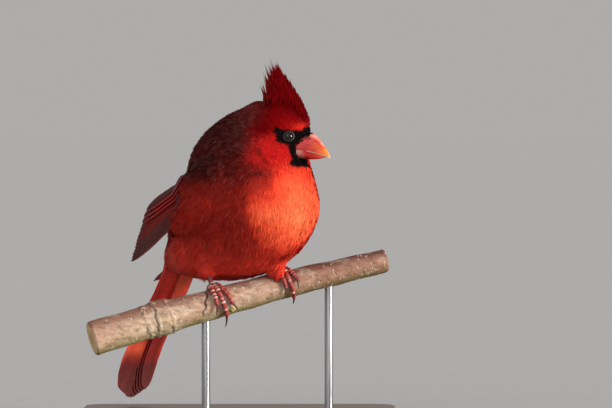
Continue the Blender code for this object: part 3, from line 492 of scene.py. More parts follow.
def large_object(name, points, triangles, material):
    """An object of many triangles, from points in millimetres."""
    mesh = bpy.data.meshes.new(name)
    mesh.vertices.add(len(points))
    mesh.vertices.foreach_set("co", (points * MM).astype(np.float32).ravel())
    mesh.loops.add(triangles.size)
    mesh.loops.foreach_set("vertex_index", triangles.astype(np.int32).ravel())
    mesh.polygons.add(len(triangles))
    mesh.polygons.foreach_set("loop_start", (np.arange(len(triangles)) * 3).astype(np.int32))
    mesh.update(calc_edges=True)
    mesh.shade_smooth()
    mesh.materials.append(material)
    made = bpy.data.objects.new(name, mesh)
    bpy.context.scene.collection.objects.link(made)
    return made


def paint(made, colours):
    """The marking of each point, kept as a colour on the mesh."""
    layer = made.data.color_attributes.new("marking", "FLOAT_COLOR", "POINT")
    full = np.ones((len(colours), 4), np.float32)
    full[:, :3] = np.clip(colours, 0.0, 1.0)
    layer.data.foreach_set("color", full.ravel())


def map_points(made, name, places):
    """A UV map given by a place for each point."""
    layer = made.data.uv_layers.new(name=name)
    corners = np.zeros(len(made.data.loops), np.int32)
    made.data.loops.foreach_get("vertex_index", corners)
    layer.data.foreach_set("uv", places[corners].astype(np.float32).ravel())


def arrays_of(made):
    """Points of an object in millimetres and their normals."""
    count = len(made.data.vertices)
    points = np.zeros(count * 3, np.float32)
    normals = np.zeros(count * 3, np.float32)
    made.data.vertices.foreach_get("co", points)
    made.data.vertices.foreach_get("normal", normals)
    return points.reshape(-1, 3).astype(float) / MM, normals.reshape(-1, 3).astype(float)


def triangles_of(made):
    made.data.calc_loop_triangles()
    out = np.zeros(len(made.data.loop_triangles) * 3, np.int32)
    made.data.loop_triangles.foreach_get("vertices", out)
    return out.reshape(-1, 3)


# Skin

def tail_point(share, across, lift=0.0):
    """Places on the tail: share of its length, distance across and height off it."""
    share, across, lift = np.broadcast_arrays(
        np.asarray(share, float), np.asarray(across, float), np.asarray(lift, float))
    sway = share - TAIL_SWAY * np.sin(2 * np.pi * share) / (2 * np.pi)
    forward = TAIL_ROOT[0] + (TAIL_TIP[0] - TAIL_ROOT[0]) * sway
    height = TAIL_ROOT[1] + (TAIL_TIP[1] - TAIL_ROOT[1]) * share
    run = (TAIL_TIP[0] - TAIL_ROOT[0]) * (1 - TAIL_SWAY * np.cos(2 * np.pi * share))
    fall = TAIL_TIP[1] - TAIL_ROOT[1]
    length = np.hypot(run, fall)
    return put(BODY, np.stack(
        [forward + lift * fall / length, across, height - lift * run / length], -1))


def level_arrays(side, levels, count, sides, start=None, end=None):
    """A tube through level cuts of the torso or the head."""
    rings = []
    for share in np.linspace(0, 1, count):
        forward, height, long, wide = rows_at(levels, share)
        rings.append(ellipse(
            put(side, (forward, 0, height)), way(side, (long, 0, 0)),
            way(side, (0, wide, 0)), sides))
    return loft_arrays(rings, start, end)


def torso_arrays():
    (front, top), (rear, bottom) = TORSO_LEVELS[0][:2], TORSO_LEVELS[-1][:2]
    return level_arrays(
        BODY, TORSO_LEVELS, 40, 64, put(BODY, (front, 0, top + 0.8)),
        put(BODY, (rear, 0, bottom - 0.4)))


def head_arrays():
    rings = []
    for share in np.linspace(0, 1, 30):
        forward, wide, top, bottom = rows_at(HEAD_CUTS, share)
        rings.append(ellipse(
            put(HEAD, (forward, 0, (top + bottom) / 2)), way(HEAD, (0, wide, 0)),
            np.array((0, 0, (top - bottom) / 2)), 48))
    back, front = HEAD_CUTS[0], HEAD_CUTS[-1]
    return loft_arrays(
        rings, put(HEAD, (back[0] - 1.6, 0, (back[2] + back[3]) / 2)),
        put(HEAD, (front[0] + 0.8, 0, (front[2] + front[3]) / 2)))


def covert_arrays():
    """The soft feathers over and under the root of the tail, longer above it than below."""
    length = math.dist(TAIL_ROOT, TAIL_TIP)
    rings = []
    for along in np.linspace(0, 1, 20):
        share = COVERT_START + along * (COVERT_LENGTH / length - COVERT_START)
        late = np.clip((along - 0.16) / 0.84, 0, 1)
        grown = smooth(-0.1, 0.34, along)
        wide = (COVERT_WIDE - COVERT_NARROWING * late ** 0.9) * (0.55 + 0.45 * grown)
        thick = COVERT_THICK * (1 - late) ** 1.7 * (0.25 + 0.75 * grown) + COVERT_THIN
        raised = (thick + 1.0) * smooth(0.35, 0.62, late) - 0.5 - 2.3 * late ** 4
        upward = tail_point(share, 0, 1) - tail_point(share, 0, 0)
        rings.append(ellipse(
            tail_point(share, 0, raised), way(BODY, (0, wide, 0)), upward * thick, 32))
    return loft_arrays(rings, None, tail_point(share + 0.03, 0, raised))


def arm_arrays(lower, upper, side):
    """The feathered arm of a folded wing, a long low swelling of the side."""
    shares = np.array(ARM_SPAN)
    low, high = rows_at(lower, shares), rows_at(upper, shares)
    middle = (low + high) / 2 * (1, side, 1)
    centre = middle.mean(0)
    along = unit(middle[1] - middle[0])
    outward = unit(np.array(ARM_OUTWARD) * (1, side, 1))
    outward = unit(outward - along * (outward @ along))
    across = np.cross(along, outward)
    axes = [way(BODY, axis) for axis in (along, across, outward)]
    flank = rows_at(lower, FLANK_SHARE) * (1, side, 1)
    return joined([
        ball_arrays(put(BODY, centre), ARM_HALF, axes),
        ball_arrays(put(BODY, flank), FLANK_HALF, axes)])


def perch_middle(share):
    share = np.asarray(share, float)
    point = mix(np.array(PERCH_LEFT), np.array(PERCH_RIGHT), share[..., None])
    point[..., 2] += PERCH_SAG * np.sin(np.pi * share)
    return point


def perch_axes(share):
    """Along the branch, up from it and towards the viewer."""
    share = np.asarray(share, float)
    along = unit(perch_middle(share + 0.01) - perch_middle(share - 0.01))
    near = unit(np.cross(along, (0.0, 0.0, 1.0)))
    return along, unit(np.cross(near, along)), near


def perch_radius(share, angle):
    knot = KNOT_HEIGHT * band(share, KNOT_PLACE, KNOT_LENGTH)
    uneven = np.sin(9 * share * np.pi + 2 * angle) * np.cos(5 * share * np.pi - angle)
    plain = mix(*PERCH_RADIUS, share)
    return plain + knot * (1 + 0.4 * np.cos(angle - 0.6)) + BARK_HEIGHT * uneven


def perch_place(share, angle, off=0.0):
    """Places on the branch by share, turn from its top and distance off its bark."""
    share, angle, off = np.broadcast_arrays(
        np.asarray(share, float), np.asarray(angle, float), np.asarray(off, float))
    _, upward, near = perch_axes(share)
    radius = (perch_radius(share, angle) + off)[..., None]
    return perch_middle(share) + (
        upward * np.cos(angle)[..., None] + near * np.sin(angle)[..., None]) * radius


def off_perch(points):
    """Points moved out of the branch."""
    left, right = np.array(PERCH_LEFT), np.array(PERCH_RIGHT)
    share = ((points - left) @ (right - left)) / ((right - left) @ (right - left))
    inside = (share > 0) & (share < 1)
    share = np.clip(share, 0, 1)
    _, upward, near = perch_axes(share)
    offset = points - perch_middle(share)
    rise, out = (offset * upward).sum(-1), (offset * near).sum(-1)
    angle = np.arctan2(out, rise)
    distance = np.hypot(rise, out)
    least = perch_radius(share, angle) + PERCH_CLEARANCE
    push = np.where(inside & (distance < least), least - distance, 0.0)
    outward = unit(upward * rise[..., None] + near * out[..., None])
    return points + outward * push[..., None]


def evened(made, turns):
    """The whole form made over in one even mesh, softened a number of times."""
    even = made.modifiers.new("even", "REMESH")
    even.mode = "VOXEL"
    even.voxel_size = SKIN_VOXEL * MM
    soft = made.modifiers.new("soft", "SMOOTH")
    soft.factor = 0.5
    soft.iterations = turns
    bpy.context.view_layer.update()
    evaluated = made.evaluated_get(bpy.context.evaluated_depsgraph_get())
    old = made.data
    made.data = bpy.data.meshes.new_from_object(evaluated)
    made.modifiers.clear()
    bpy.data.meshes.remove(old)


def skin_form():
    """Torso, head, crest, arms and the root of the tail in one smooth skin."""
    axes = [way(HEAD, axis) for axis in np.eye(3)]
    parts = [
        torso_arrays(), head_arrays(), level_arrays(HEAD, CREST_CORE, 12, 24), covert_arrays(),
        ball_arrays(put(HEAD, THROAT), THROAT_HALF, axes),
        arm_arrays(WING_LOWER, WING_UPPER, 1), arm_arrays(FAR_WING_LOWER, FAR_WING_UPPER, -1),
    ]
    for side in ("right", "left"):
        parts.append(ball_arrays((*SHANK_TOP[side], THIGH_HEIGHT), THIGH_HALF, np.eye(3)))
    made = plain_object("skin", *joined(parts))
    evened(made, 7)
    points, normals = arrays_of(made)
    height = points[:, 2]
    face = smooth(-2.0, 9.0, read(HEAD, points)[:, 0]) * smooth(150.0, 156.0, height)
    depth = mix(COAT_DEPTH, FACE_DEPTH, face)
    depth = mix(depth, CROWN_DEPTH, smooth(184.0, 190.0, height))
    rear = smooth(-57.0, -63.0, read(BODY, points)[:, 0]) * smooth(104.0, 88.0, height)
    depth = mix(depth, REAR_DEPTH, rear)
    points = points - normals * depth[:, None]
    made.data.vertices.foreach_set("co", (points * MM).astype(np.float32).ravel())
    evened(made, 3)
    made.data.shade_smooth()
    return made


def tree_of(*pieces):
    """Pieces as one surface that can be searched for the nearest place."""
    points, faces = joined([
        (arrays_of(piece)[0], triangles_of(piece).tolist()) for piece in pieces])
    return BVHTree.FromPolygons(points.tolist(), faces)


def nearest(tree, points):
    """The nearest place on a surface and its normal, for many points."""
    found = np.empty((len(points), 2, 3))
    for index, point in enumerate(points):
        found[index] = tree.find_nearest(point)[:2]
    return found[:, 0], found[:, 1]


# Lie of the coat: frame, forward, right, height, the way it lies, length, spacing and lift
LIE = (
    (HEAD, 17.0, 0.0, 173.0, -0.35, 0.0, 0.94, 4.0, 0.75, 1.0),
    (HEAD, 12.0, 4.0, 180.0, -0.2, 0.0, 0.98, 7.0, 0.9, 1.3),
    (HEAD, 4.0, 6.0, 186.0, -0.25, 0.0, 0.97, 10.0, 1.1, 1.5),
    (HEAD, -6.0, 6.0, 186.0, -0.35, 0.0, 0.94, 10.0, 1.1, 1.5),
    (HEAD, -2.0, 2.0, 198.0, -0.25, 0.0, 0.97, 9.0, 1.2, 1.0),
    (HEAD, -15.0, 5.0, 177.0, -0.8, 0.0, -0.5, 8.0, 1.2, 1.8),
    (HEAD, 4.0, 11.0, 176.0, -0.8, 0.0, 0.6, 5.0, 0.85, 1.2),
    (HEAD, 14.0, 5.0, 167.0, -1.0, 0.1, 0.15, 2.6, 0.55, 0.8),
    (HEAD, 9.0, 8.0, 172.0, -0.9, 0.0, 0.4, 3.0, 0.6, 0.8),
    (HEAD, 7.0, 9.0, 162.5, -0.95, 0.1, -0.35, 3.0, 0.6, 0.8),
    (HEAD, 0.0, 13.5, 163.0, -0.85, 0.1, -0.5, 6.0, 0.95, 1.5),
    (HEAD, -3.0, 13.5, 170.0, -0.95, 0.0, -0.1, 6.0, 1.0, 1.5),
    (HEAD, 10.5, 7.5, 156.5, -0.7, 0.2, -0.65, 3.0, 0.6, 1.0),
    (HEAD, 16.0, 2.0, 151.5, -0.5, 0.15, -0.85, 3.2, 0.6, 1.1),
    (HEAD, 10.0, 6.0, 145.5, -0.3, 0.1, -0.95, 6.5, 1.0, 1.8),
    (HEAD, -10.0, 15.0, 160.0, -0.75, 0.1, -0.65, 9.0, 1.25, 2.0),
    (HEAD, -2.0, 16.0, 150.0, -0.55, 0.1, -0.8, 8.5, 1.2, 2.0),
    (BODY, 37.0, 4.0, 145.0, 0.05, 0.0, -1.0, 10.0, 1.3, 2.3),
    (BODY, 44.0, 10.0, 125.0, -0.05, 0.05, -1.0, 12.0, 1.45, 2.5),
    (BODY, 28.0, 28.0, 130.0, -0.3, 0.12, -0.95, 12.5, 1.45, 2.5),
    (BODY, 22.0, 28.0, 148.0, -0.4, 0.12, -0.9, 11.0, 1.35, 2.3),
    (BODY, 36.0, 10.0, 104.0, -0.5, 0.05, -0.87, 13.5, 1.5, 2.8),
    (BODY, 8.0, 10.0, 88.0, -0.9, 0.0, -0.42, 13.0, 1.5, 3.0),
    (BODY, -28.0, 6.0, 84.0, -0.95, 0.0, -0.3, 13.0, 1.5, 2.8),
    (BODY, 2.0, 36.0, 114.0, -0.5, 0.05, -0.87, 15.0, 1.55, 3.0),
    (BODY, -28.0, 28.0, 100.0, -0.78, -0.05, -0.62, 15.0, 1.55, 2.8),
    (BODY, 6.0, 33.0, 150.0, -0.7, 0.12, -0.7, 10.5, 1.3, 2.0),
    (BODY, -6.0, 36.0, 136.0, -0.8, 0.0, -0.6, 12.0, 1.4, 2.0),
    (BODY, -24.0, 31.0, 132.0, -0.85, 0.0, -0.52, 12.0, 1.4, 1.8),
    (BODY, -18.0, 8.0, 174.0, -0.75, 0.0, -0.65, 10.0, 1.35, 2.0),
    (BODY, 0.0, 6.0, 186.0, -0.9, 0.0, -0.35, 8.0, 1.2, 1.8),
    (BODY, -36.0, 10.0, 150.0, -0.55, 0.0, -0.83, 12.0, 1.4, 2.0),
    (BODY, -52.0, 8.0, 122.0, -0.5, 0.0, -0.85, 13.0, 1.45, 2.2),
    (BODY, -66.0, 4.0, 98.0, -0.45, 0.0, -0.88, 12.0, 1.5, 1.6),
    (BODY, -54.0, 4.0, 84.0, -0.6, 0.0, -0.8, 13.0, 1.5, 2.0),
)
LIE_REACH = 11.0
# Round the shanks, in the row frame: the tufts hang down and are short
LEG_LIE = ((-17.6, -24.5, 85.0), (23.0, -25.0, 85.0))
LEG_WAY = (-0.1, 0.1, -1.0)
LEG_SIZES = (5.0, 1.0, 0.8)
LEG_REACH = 6.0
LIE_BATCH = 20000


def lie_table():
    """The lie of the coat on both sides of the bird: places, ways and sizes."""
    places, ways, sizes = [], [], []
    for side, forward, right, height, a, b, c, length, spacing, lift in LIE:
        for turn in (1, -1):
            places.append(put(side, (forward, turn * right, height)))
            ways.append(way(side, (a, turn * b, c)))
            sizes.append((length, spacing, lift))
    return np.array(places), unit(np.array(ways)), np.array(sizes)


LIE_PLACES, LIE_WAYS, LIE_SIZES = lie_table()


def lie_at(points):
    """The way the coat lies and its sizes at many places."""
    ways = np.empty((len(points), 3))
    sizes = np.empty((len(points), 3))
    for first in range(0, len(points), LIE_BATCH):
        batch = slice(first, first + LIE_BATCH)
        away = ((points[batch, None] - LIE_PLACES[None]) ** 2).sum(-1)
        away = away - away.min(1, keepdims=True)
        weight = np.exp(-away / (2 * LIE_REACH ** 2))
        weight /= weight.sum(1, keepdims=True)
        ways[batch] = weight @ LIE_WAYS
        sizes[batch] = weight @ LIE_SIZES
    for leg in LEG_LIE:
        near = np.exp(-((points - leg) ** 2).sum(-1) / (2 * LEG_REACH ** 2))[:, None]
        ways = mix(ways, np.array(LEG_WAY), near)
        sizes = mix(sizes, np.array(LEG_SIZES), near)
    return ways, sizes


def lin(red, green, blue):
    """A colour as seen on a screen, turned to the light it stands for."""
    value = np.array((red, green, blue), float) / 255.0
    return np.where(value <= 0.04045, value / 12.92, ((value + 0.055) / 1.055) ** 2.4)


BREAST = lin(238, 54, 37)
# Painted sunlight: the orange of the breast where the light falls on it
PAINTED_SUNLIGHT = lin(250, 130, 80)
BELLY = lin(250, 66, 48)
FLANK = lin(152, 31, 22)
DEEP = lin(84, 14, 14)
SADDLE = lin(96, 28, 26)
# Painted shade: the dark red laid on the shoulder, the root of the wing and the fold on the side of
# the head
PAINTED_SHADE = lin(36, 9, 9)
# The back's own red darkened by painted shade of the back turned from the light
SHADED_MANTLE = lin(58, 16, 16)
CHEEK = lin(186, 26, 24)
CROWN = lin(112, 2, 7)
# Painted highlight: the brighter crimson over the brow
PAINTED_BROW_HIGHLIGHT = lin(150, 8, 10)
RUMP = lin(196, 56, 46)
PALE_FLANK = lin(214, 100, 90)
MASK = lin(16, 11, 11)
GREY = lin(150, 98, 90)
UNDERWING = lin(150, 66, 58)
DOWN = np.array((0.78, 0.72, 0.72))
RIGHT_BARK = np.array((0.66, 0.54, 0.52))
# Middles and sizes, forward and up, of the soft spots of the marking and of the painted light and
# shade in it
# Painted sunlight on the middle of the breast
PAINTED_SUNLIGHT_SPOT = ((52.0, 121.0), (16.5, 24.0))
# Painted shade on the shoulder and, below it, at the root of the wing
SHOULDER_SHADE_SPOT = ((-2.0, 151.5), (19.0, 8.5))
WING_ROOT_SHADE_SPOT = ((-29.0, 138.0), (14.0, 12.0))
# Painted highlight over the brow
BROW_HIGHLIGHT_SPOT = ((9.0, 173.0), (8.0, 4.0))
BILL_ROOT_SPOT = ((14.5, 172.0), (4.0, 2.2))


def waver(points, size, seed):
    """A soft unevenness from -1 to 1, made of a few waves."""
    source = np.random.default_rng(seed)
    total = np.zeros(len(points))
    for _ in range(6):
        wave = unit(source.normal(size=3)) * 2 * np.pi / (size * source.uniform(0.6, 1.6))
        total += np.sin(points @ wave + source.uniform(0, 6.28))
    return total / 3.0


def near_line(forward, height, start, end, radius, soft):
    """1 near a line drawn on the side of the head and 0 past its radius."""
    start, end = np.array(start, float), np.array(end, float)
    point = np.stack([forward, height], -1)
    along = np.clip(((point - start) @ (end - start)) / ((end - start) @ (end - start)), 0, 1)
    away = np.linalg.norm(point - (start + along[:, None] * (end - start)), axis=-1)
    return 1 - smooth(radius - soft, radius + soft, away)


# Black of the face: start, end and radius of each stroke, forward and up on the head
MASK_LINES = (
    ((2.2, 170.2), (6.0, 168.4), 1.8),
    ((5.6, 167.3), (9.0, 166.6), 3.9),
    ((8.5, 166.2), (12.5, 166.4), 3.8),
    ((12.5, 167.0), (18.0, 168.6), 2.7),
    ((17.0, 170.0), (19.8, 172.0), 1.5),
    ((10.2, 162.0), (11.4, 154.4), 1.8),
    ((11.8, 153.2), (20.5, 152.6), 2.8),
)
# Painted shade along a fold on the side of the head: start, end and radius, forward and up on the
# head
PAINTED_CREASE_SHADE = ((-7.5, 160.0), (-1.0, 153.2), 0.6)


def mask_share(points):
    """How black the face is at many places."""
    head = read(HEAD, points)
    uneven = waver(points, 4.0, 3) * 0.3 + waver(points, 1.6, 4) * 0.2
    share = np.zeros(len(points))
    for start, end, radius in MASK_LINES:
        share = np.maximum(share, near_line(
            head[:, 0], head[:, 2], start, end, radius + uneven, 0.55))
    wide = cut_at(HEAD_CUTS, head[:, 0], 1)
    near = 1 - smooth(wide + 1.0, wide + 2.6, np.abs(head[:, 1]))
    return share * near * smooth(0.0, 1.5, head[:, 0]) * (1 - smooth(175.0, 177.0, points[:, 2]))


def marking(points):
    """The colour of the plumage at many places, with painted light and shade in it, and how much
    grey its tips carry.
    """
    body, head = read(BODY, points), read(HEAD, points)
    height, ahead = points[:, 2], head[:, 0]
    uneven = waver(points, 22.0, 5)
    patchy = waver(points, 8.0, 6)
    forward = body[:, 0] + 2.5 * uneven + 0.8 * patchy
    side = np.abs(body[:, 1])
    colour = np.tile(FLANK, (len(points), 1))
    colour = lay(colour, DEEP, smooth(132.0, 150.0, height) * 0.8)
    low = 1 - smooth(90.0, 116.0, height + 4 * uneven)
    colour = lay(colour, BELLY, 0.75 * low)
    # The bright breast ends where the lit front turned into shade, so the duller flank beside it is
    # partly painted shade
    breast = smooth(26.0, 37.0, forward + 0.1 * low * forward) * smooth(80.0, 100.0, height)
    # Painted sunlight on the middle of the breast
    sunlit_share = spot(forward, height - 4 * uneven, *PAINTED_SUNLIGHT_SPOT)
    colour = lay(colour, mix(BREAST, PAINTED_SUNLIGHT, (sunlit_share * (1 + 0.1 * patchy))[:, None]), breast)
    back = (1 - smooth(-26.0, -4.0, forward)) * smooth(116.0, 138.0, height)
    back = np.maximum(back, smooth(152.0, 166.0, height) * (1 - smooth(14.0, 30.0, forward)))
    middle = 1 - smooth(4.0, 20.0, side)
    # The back in its own red darkened by painted shade, lighter along the middle
    colour = lay(colour, mix(SHADED_MANTLE, SADDLE, middle[:, None]), 0.9 * back)
    # Painted shade on the shoulder and at the root of the wing, where the side is turned from the
    # light
    shoulder_shade = spot(forward, height - patchy, *SHOULDER_SHADE_SPOT, 4)
    wing_root_shade = spot(forward, height - patchy, *WING_ROOT_SHADE_SPOT, 4)
    shoulder_shade = np.maximum(shoulder_shade, 0.85 * wing_root_shade) * smooth(10.0, 22.0, side)
    colour = lay(colour, PAINTED_SHADE, 0.85 * shoulder_shade)
    rump = (1 - smooth(-60.0, -44.0, forward)) * (1 - smooth(100.0, 125.0, height))
    colour = lay(colour, RUMP, 0.7 * rump)
    past_nape = ahead + patchy - 7.0 * smooth(163.0, 178.0, height)
    on_head = smooth(146.0, 156.0, height) * smooth(-17.0, 0.0, past_nape)
    colour = lay(colour, CHEEK, on_head)
    crown = smooth(165.0, 172.5, height - 0.2 * ahead) * smooth(-22.0, -9.0, past_nape)
    colour = lay(colour, CROWN, crown)
    # Painted highlight over the brow, on the crown's crimson
    colour = lay(colour, PAINTED_BROW_HIGHLIGHT, spot(ahead, height, *BROW_HIGHLIGHT_SPOT) * crown)
    colour = lay(colour, BREAST, 0.6 * spot(ahead, height, *BILL_ROOT_SPOT))
    # Painted shade along the fold on the side of the head
    crease_shade = near_line(ahead, height, *PAINTED_CREASE_SHADE, 1.6) * (np.abs(head[:, 1]) > 7)
    colour = lay(colour, PAINTED_SHADE, 0.7 * crease_shade)
    grey = 0.3 + 0.3 * low + 0.2 * back + 0.2 * shoulder_shade
    downy = (1 - smooth(-44.0, -22.0, forward)) * (1 - smooth(100.0, 122.0, height))
    colour = lay(colour, PALE_FLANK, 0.3 * downy * (1 - back))
    grey = (grey + 0.45 * downy) * (1 - breast) * (1 - 0.85 * on_head) * (1 - crown)
    black = mask_share(points)
    return lay(colour, MASK, black), np.clip(grey * (1 - black), 0, 1)


def bake_places(points):
    """The place of each root on an unwrap of the skin, head and body apart."""
    head = read(HEAD, points)
    on_head = (points[:, 2] > 146.0) & (head[:, 0] > -20.0) & (np.abs(head[:, 1]) < 20.0)
    out = np.empty((len(points), 2))
    for chosen, form, (middle, low, size) in (
            (~on_head, BODY, BODY_CHART), (on_head, HEAD, HEAD_CHART)):
        spread = unit(points[chosen] - put(form, middle))
        turn = np.arctan2(spread[:, 1], spread[:, 0]) / (2 * np.pi) + 0.5
        rise = (spread[:, 2] + 1) / 2
        out[chosen] = np.stack([low[0] + size[0] * turn, low[1] + size[1] * rise], -1)
    return out


def crowded(kept, cell, point, spacing):
    """True where a root that was kept before is nearer than the spacing."""
    for step in NEIGHBOURS:
        for other in kept.get((cell[0] + step[0], cell[1] + step[1], cell[2] + step[2]), ()):
            if (point[0] - other[0]) ** 2 + (point[1] - other[1]) ** 2 \
                    + (point[2] - other[2]) ** 2 < spacing ** 2:
                return True
    return False


def scatter(made, seed):
    """Roots spread over a surface, each kept clear of the next by the local spacing."""
    source = np.random.default_rng(seed)
    points, normals = arrays_of(made)
    triangles = triangles_of(made)
    a, b, c = (points[triangles[:, corner]] for corner in range(3))
    area = np.linalg.norm(np.cross(b - a, c - a), axis=-1) / 2
    _, sizes = lie_at((a + b + c) / 3)
    weight = area / sizes[:, 1] ** 2
    wanted = int(weight.sum() * ROOTS_TRIED)
    chosen = source.choice(len(triangles), wanted, p=weight / weight.sum())
    u, v = source.random(wanted), source.random(wanted)
    flip = u + v > 1
    u[flip], v[flip] = 1 - u[flip], 1 - v[flip]
    roots = a[chosen] + (b - a)[chosen] * u[:, None] + (c - a)[chosen] * v[:, None]
    na, nb, nc = (normals[triangles[chosen, corner]] for corner in range(3))
    facing = unit(na + (nb - na) * u[:, None] + (nc - na) * v[:, None])
    _, sizes = lie_at(roots)
    cells = map(tuple, np.floor(roots / ROOT_CELL).astype(int).tolist())
    kept, indices = {}, []
    for index, (cell, point) in enumerate(zip(cells, roots.tolist())):
        if not crowded(kept, cell, point, sizes[index, 1] * ROOT_SPACING):
            kept.setdefault(cell, []).append(point)
            indices.append(index)
    return roots[indices], facing[indices]


EYES = {side: (
    put(HEAD, (EYE_PLACE[0], side * EYE_PLACE[1], EYE_PLACE[2])),
    unit(way(HEAD, (EYE_AXIS[0], side * EYE_AXIS[1], EYE_AXIS[2]))),
) for side in (1, -1)}


def in_bill(points, grow):
    """True where a place is inside the bill's base, grown on all sides."""
    head = read(HEAD, points)
    wide = cut_at(BILL_CUTS, head[:, 0], 1) + grow
    top = cut_at(BILL_CUTS, head[:, 0], 2) + grow
    low = cut_at(BILL_CUTS, head[:, 0], 4) - grow
    middle, half = (top + low) / 2, (top - low) / 2
    return ((head[:, 1] / wide) ** 2 + ((head[:, 2] - middle) / half) ** 2 < 1) & (
        head[:, 0] > BILL_CUTS[1][0] + 1.0)


def eye_shortening(roots, ways, lengths):
    """Lengths cut so that no tuft reaches over an eye."""
    for middle, look in EYES.values():
        offset = roots - middle
        facing = offset @ look > -1.0
        flat = offset - np.outer(offset @ look, look)
        steer = unit(ways - np.outer(ways @ look, look))
        distance = np.linalg.norm(flat, axis=-1)
        ahead = -(flat * steer).sum(-1)
        miss = np.sqrt(np.maximum(distance ** 2 - ahead ** 2, 0))
        reach = ahead - np.sqrt(np.maximum(EYE_CLEAR ** 2 - miss ** 2, 0))
        limit = facing & (ahead > 0) & (miss < EYE_CLEAR) & (distance < EYE_REACH)
        cut = np.minimum(lengths, np.maximum(reach, SHORTEST_TUFT))
        lengths = np.where(limit, cut, lengths)
    return lengths


def spines(tree, roots, facing, ways, lengths, lifts, source):
    """Stations along each tuft that follow the skin, with their normals."""
    heading = unit(ways - facing * (ways * facing).sum(-1, keepdims=True))
    stray = source.normal(0, STRAY, len(roots))
    heading = unit(heading + np.cross(facing, heading) * stray[:, None])
    at, up = roots, facing
    places, normals = [roots - facing * ROOT_DEPTH], [facing]
    for index in range(1, STATIONS):
        step = lengths / (STATIONS - 1)
        raw = at + heading * step[:, None]
        found, found_normal = nearest(tree, raw)
        outside = ((raw - found) * found_normal).sum(-1)
        # Past the end of a form the tuft keeps its own heading in place of the surface
        free = np.clip((outside - 0.8) / 2.0, 0, 1)[:, None]
        base = mix(found, raw, free)
        heading = unit(mix(heading, unit(base - at), 0.6))
        at, up = base, unit(mix(found_normal, up, 0.35))
        share = index / (STATIONS - 1)
        rise = lifts * (0.25 + 0.75 * share) * share ** 0.6
        places.append(at + up * rise[:, None])
        normals.append(up)
    return np.stack(places, 1), np.stack(normals, 1)


def station_at(values, share):
    """Values along each tuft read at a share of its length."""
    at = np.clip(share, 0, 1) * (STATIONS - 1)
    index = np.minimum(at.astype(int), STATIONS - 2)
    step = (at - index)[:, None]
    rows = np.arange(len(values))
    return values[rows, index] * (1 - step) + values[rows, index + 1] * step


def tufts(place, normal, widths, rough, source, fan=1.0):
    """Points, triangles, places across and along, owners and normals of a set of tufts."""
    count = len(place)
    points, triangles, marks, normals = [], [], [], []

    def axes_at(share, before, after):
        """The middle of each tuft at a share of its length, its way up and its way across."""
        at, up = station_at(place, share), unit(station_at(normal, share))
        ahead = station_at(place, share + after) - station_at(place, share - before)
        return at, up, unit(np.cross(up, ahead))

    def add(axes, share, off, lift, roll):
        """One more point on each tuft, so far off its middle."""
        at, up, across = axes
        points.append(at + across * off[:, None] + up * lift[:, None])
        marks.append(np.stack([0.5 + off / np.maximum(widths, 0.1), share], -1))
        normals.append(up + across * (off / TUFT_SHADED - 0.5 * roll)[:, None])

    def strip(shares, middles, halves, lifted, roll, tip_share, tip_across):
        """One lock: pairs of points along it and a point at its end."""
        base = len(points)
        for share, middle, half in zip(shares, middles, halves):
            axes = axes_at(share, 0.05, 0.05)
            for edge in (-1, 1):
                off = middle + edge * half
                add(axes, share, off, lifted - off ** 2 / TUFT_ROUND + edge * half * roll, roll)
        add(axes_at(tip_share, 0.1, 0.0), tip_share, tip_across,
            lifted - tip_across ** 2 / TUFT_ROUND, roll)
        made = []
        for a in range(0, 2 * len(shares) - 2, 2):
            made += [(a, a + 3, a + 1), (a, a + 2, a + 3)]
        last = 2 * len(shares)
        made.append((last - 2, last, last - 1))
        for triangle in made:
            triangles.append(np.stack([
                (base + corner) * count + np.arange(count) for corner in triangle], -1))

    zero, ones = np.zeros(count), np.ones(count)
    strip(
        [share * ones for share in WEB_SHARES], [zero] * len(WEB_SHARES),
        [widths * half for half in WEB_HALVES], zero - WEB_SUNK, zero, WEB_TIP * ones, zero)
    spread = widths * 0.5
    for index in range(LOCKS):
        lean = ((index + 0.5) / LOCKS * 2 - 1) * fan + source.normal(0, 0.12, count)
        end = (1.0 - 0.3 * np.abs(lean) ** 1.6) * source.uniform(0.84, 1.06, count)
        start = 0.55 * end * source.uniform(0.35, 0.9, count)
        half = widths / LOCKS * source.uniform(0.55, 0.9, count)
        lifted = source.normal(0.02, 0.09, count) * rough
        roll = source.normal(0, 0.35, count)
        strip(
            [start, mix(start, end, 0.4), mix(start, end, 0.72)],
            [lean * spread * 0.62, lean * spread * 0.86, lean * spread * 0.98],
            [half * 0.7, half, half * 0.72], lifted, roll, end,
            lean * spread * 1.02 + source.normal(0, 0.1, count) * half)
    owners = np.tile(np.arange(count), len(points))
    return (
        np.vstack(points), np.vstack(triangles), np.vstack(marks), owners,
        unit(np.vstack(normals)))


def coat_piece(name, tuft, roots, material, source):
    """One coat object with its colours and its two maps."""
    points, triangles, marks, owners, normals = tuft
    shade = source.uniform(0.9, 1.1, len(roots))
    warm = source.normal(0, 0.035, len(roots))
    along = marks[:, 1]
    colour, grey = marking(mix(roots[owners], points, 0.6))
    colour = colour * (shade[:, None] * (1 + np.outer(warm, (0.4, 1.0, 0.6))))[owners]
    colour = colour * mix(DOWN, 1.0, smooth(0.0, 0.45, along)[:, None])
    hazy = source.random(len(roots)) ** 1.5
    tip = smooth(0.55, 1.02, along) * grey * hazy[owners]
    colour = mix(colour, GREY, 0.75 * tip[:, None])
    made = large_object(name, points, triangles, material)
    made.data.normals_split_custom_set_from_vertices(normals.astype(np.float32).tolist())
    paint(made, colour)
    middle = bake_places(roots)[owners]
    map_points(made, "OFBake", middle + (np.clip(marks, 0, 1) - 0.5) * TUFT_CHART)
    map_points(made, "vane", marks)
    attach(made, "root")
    return made


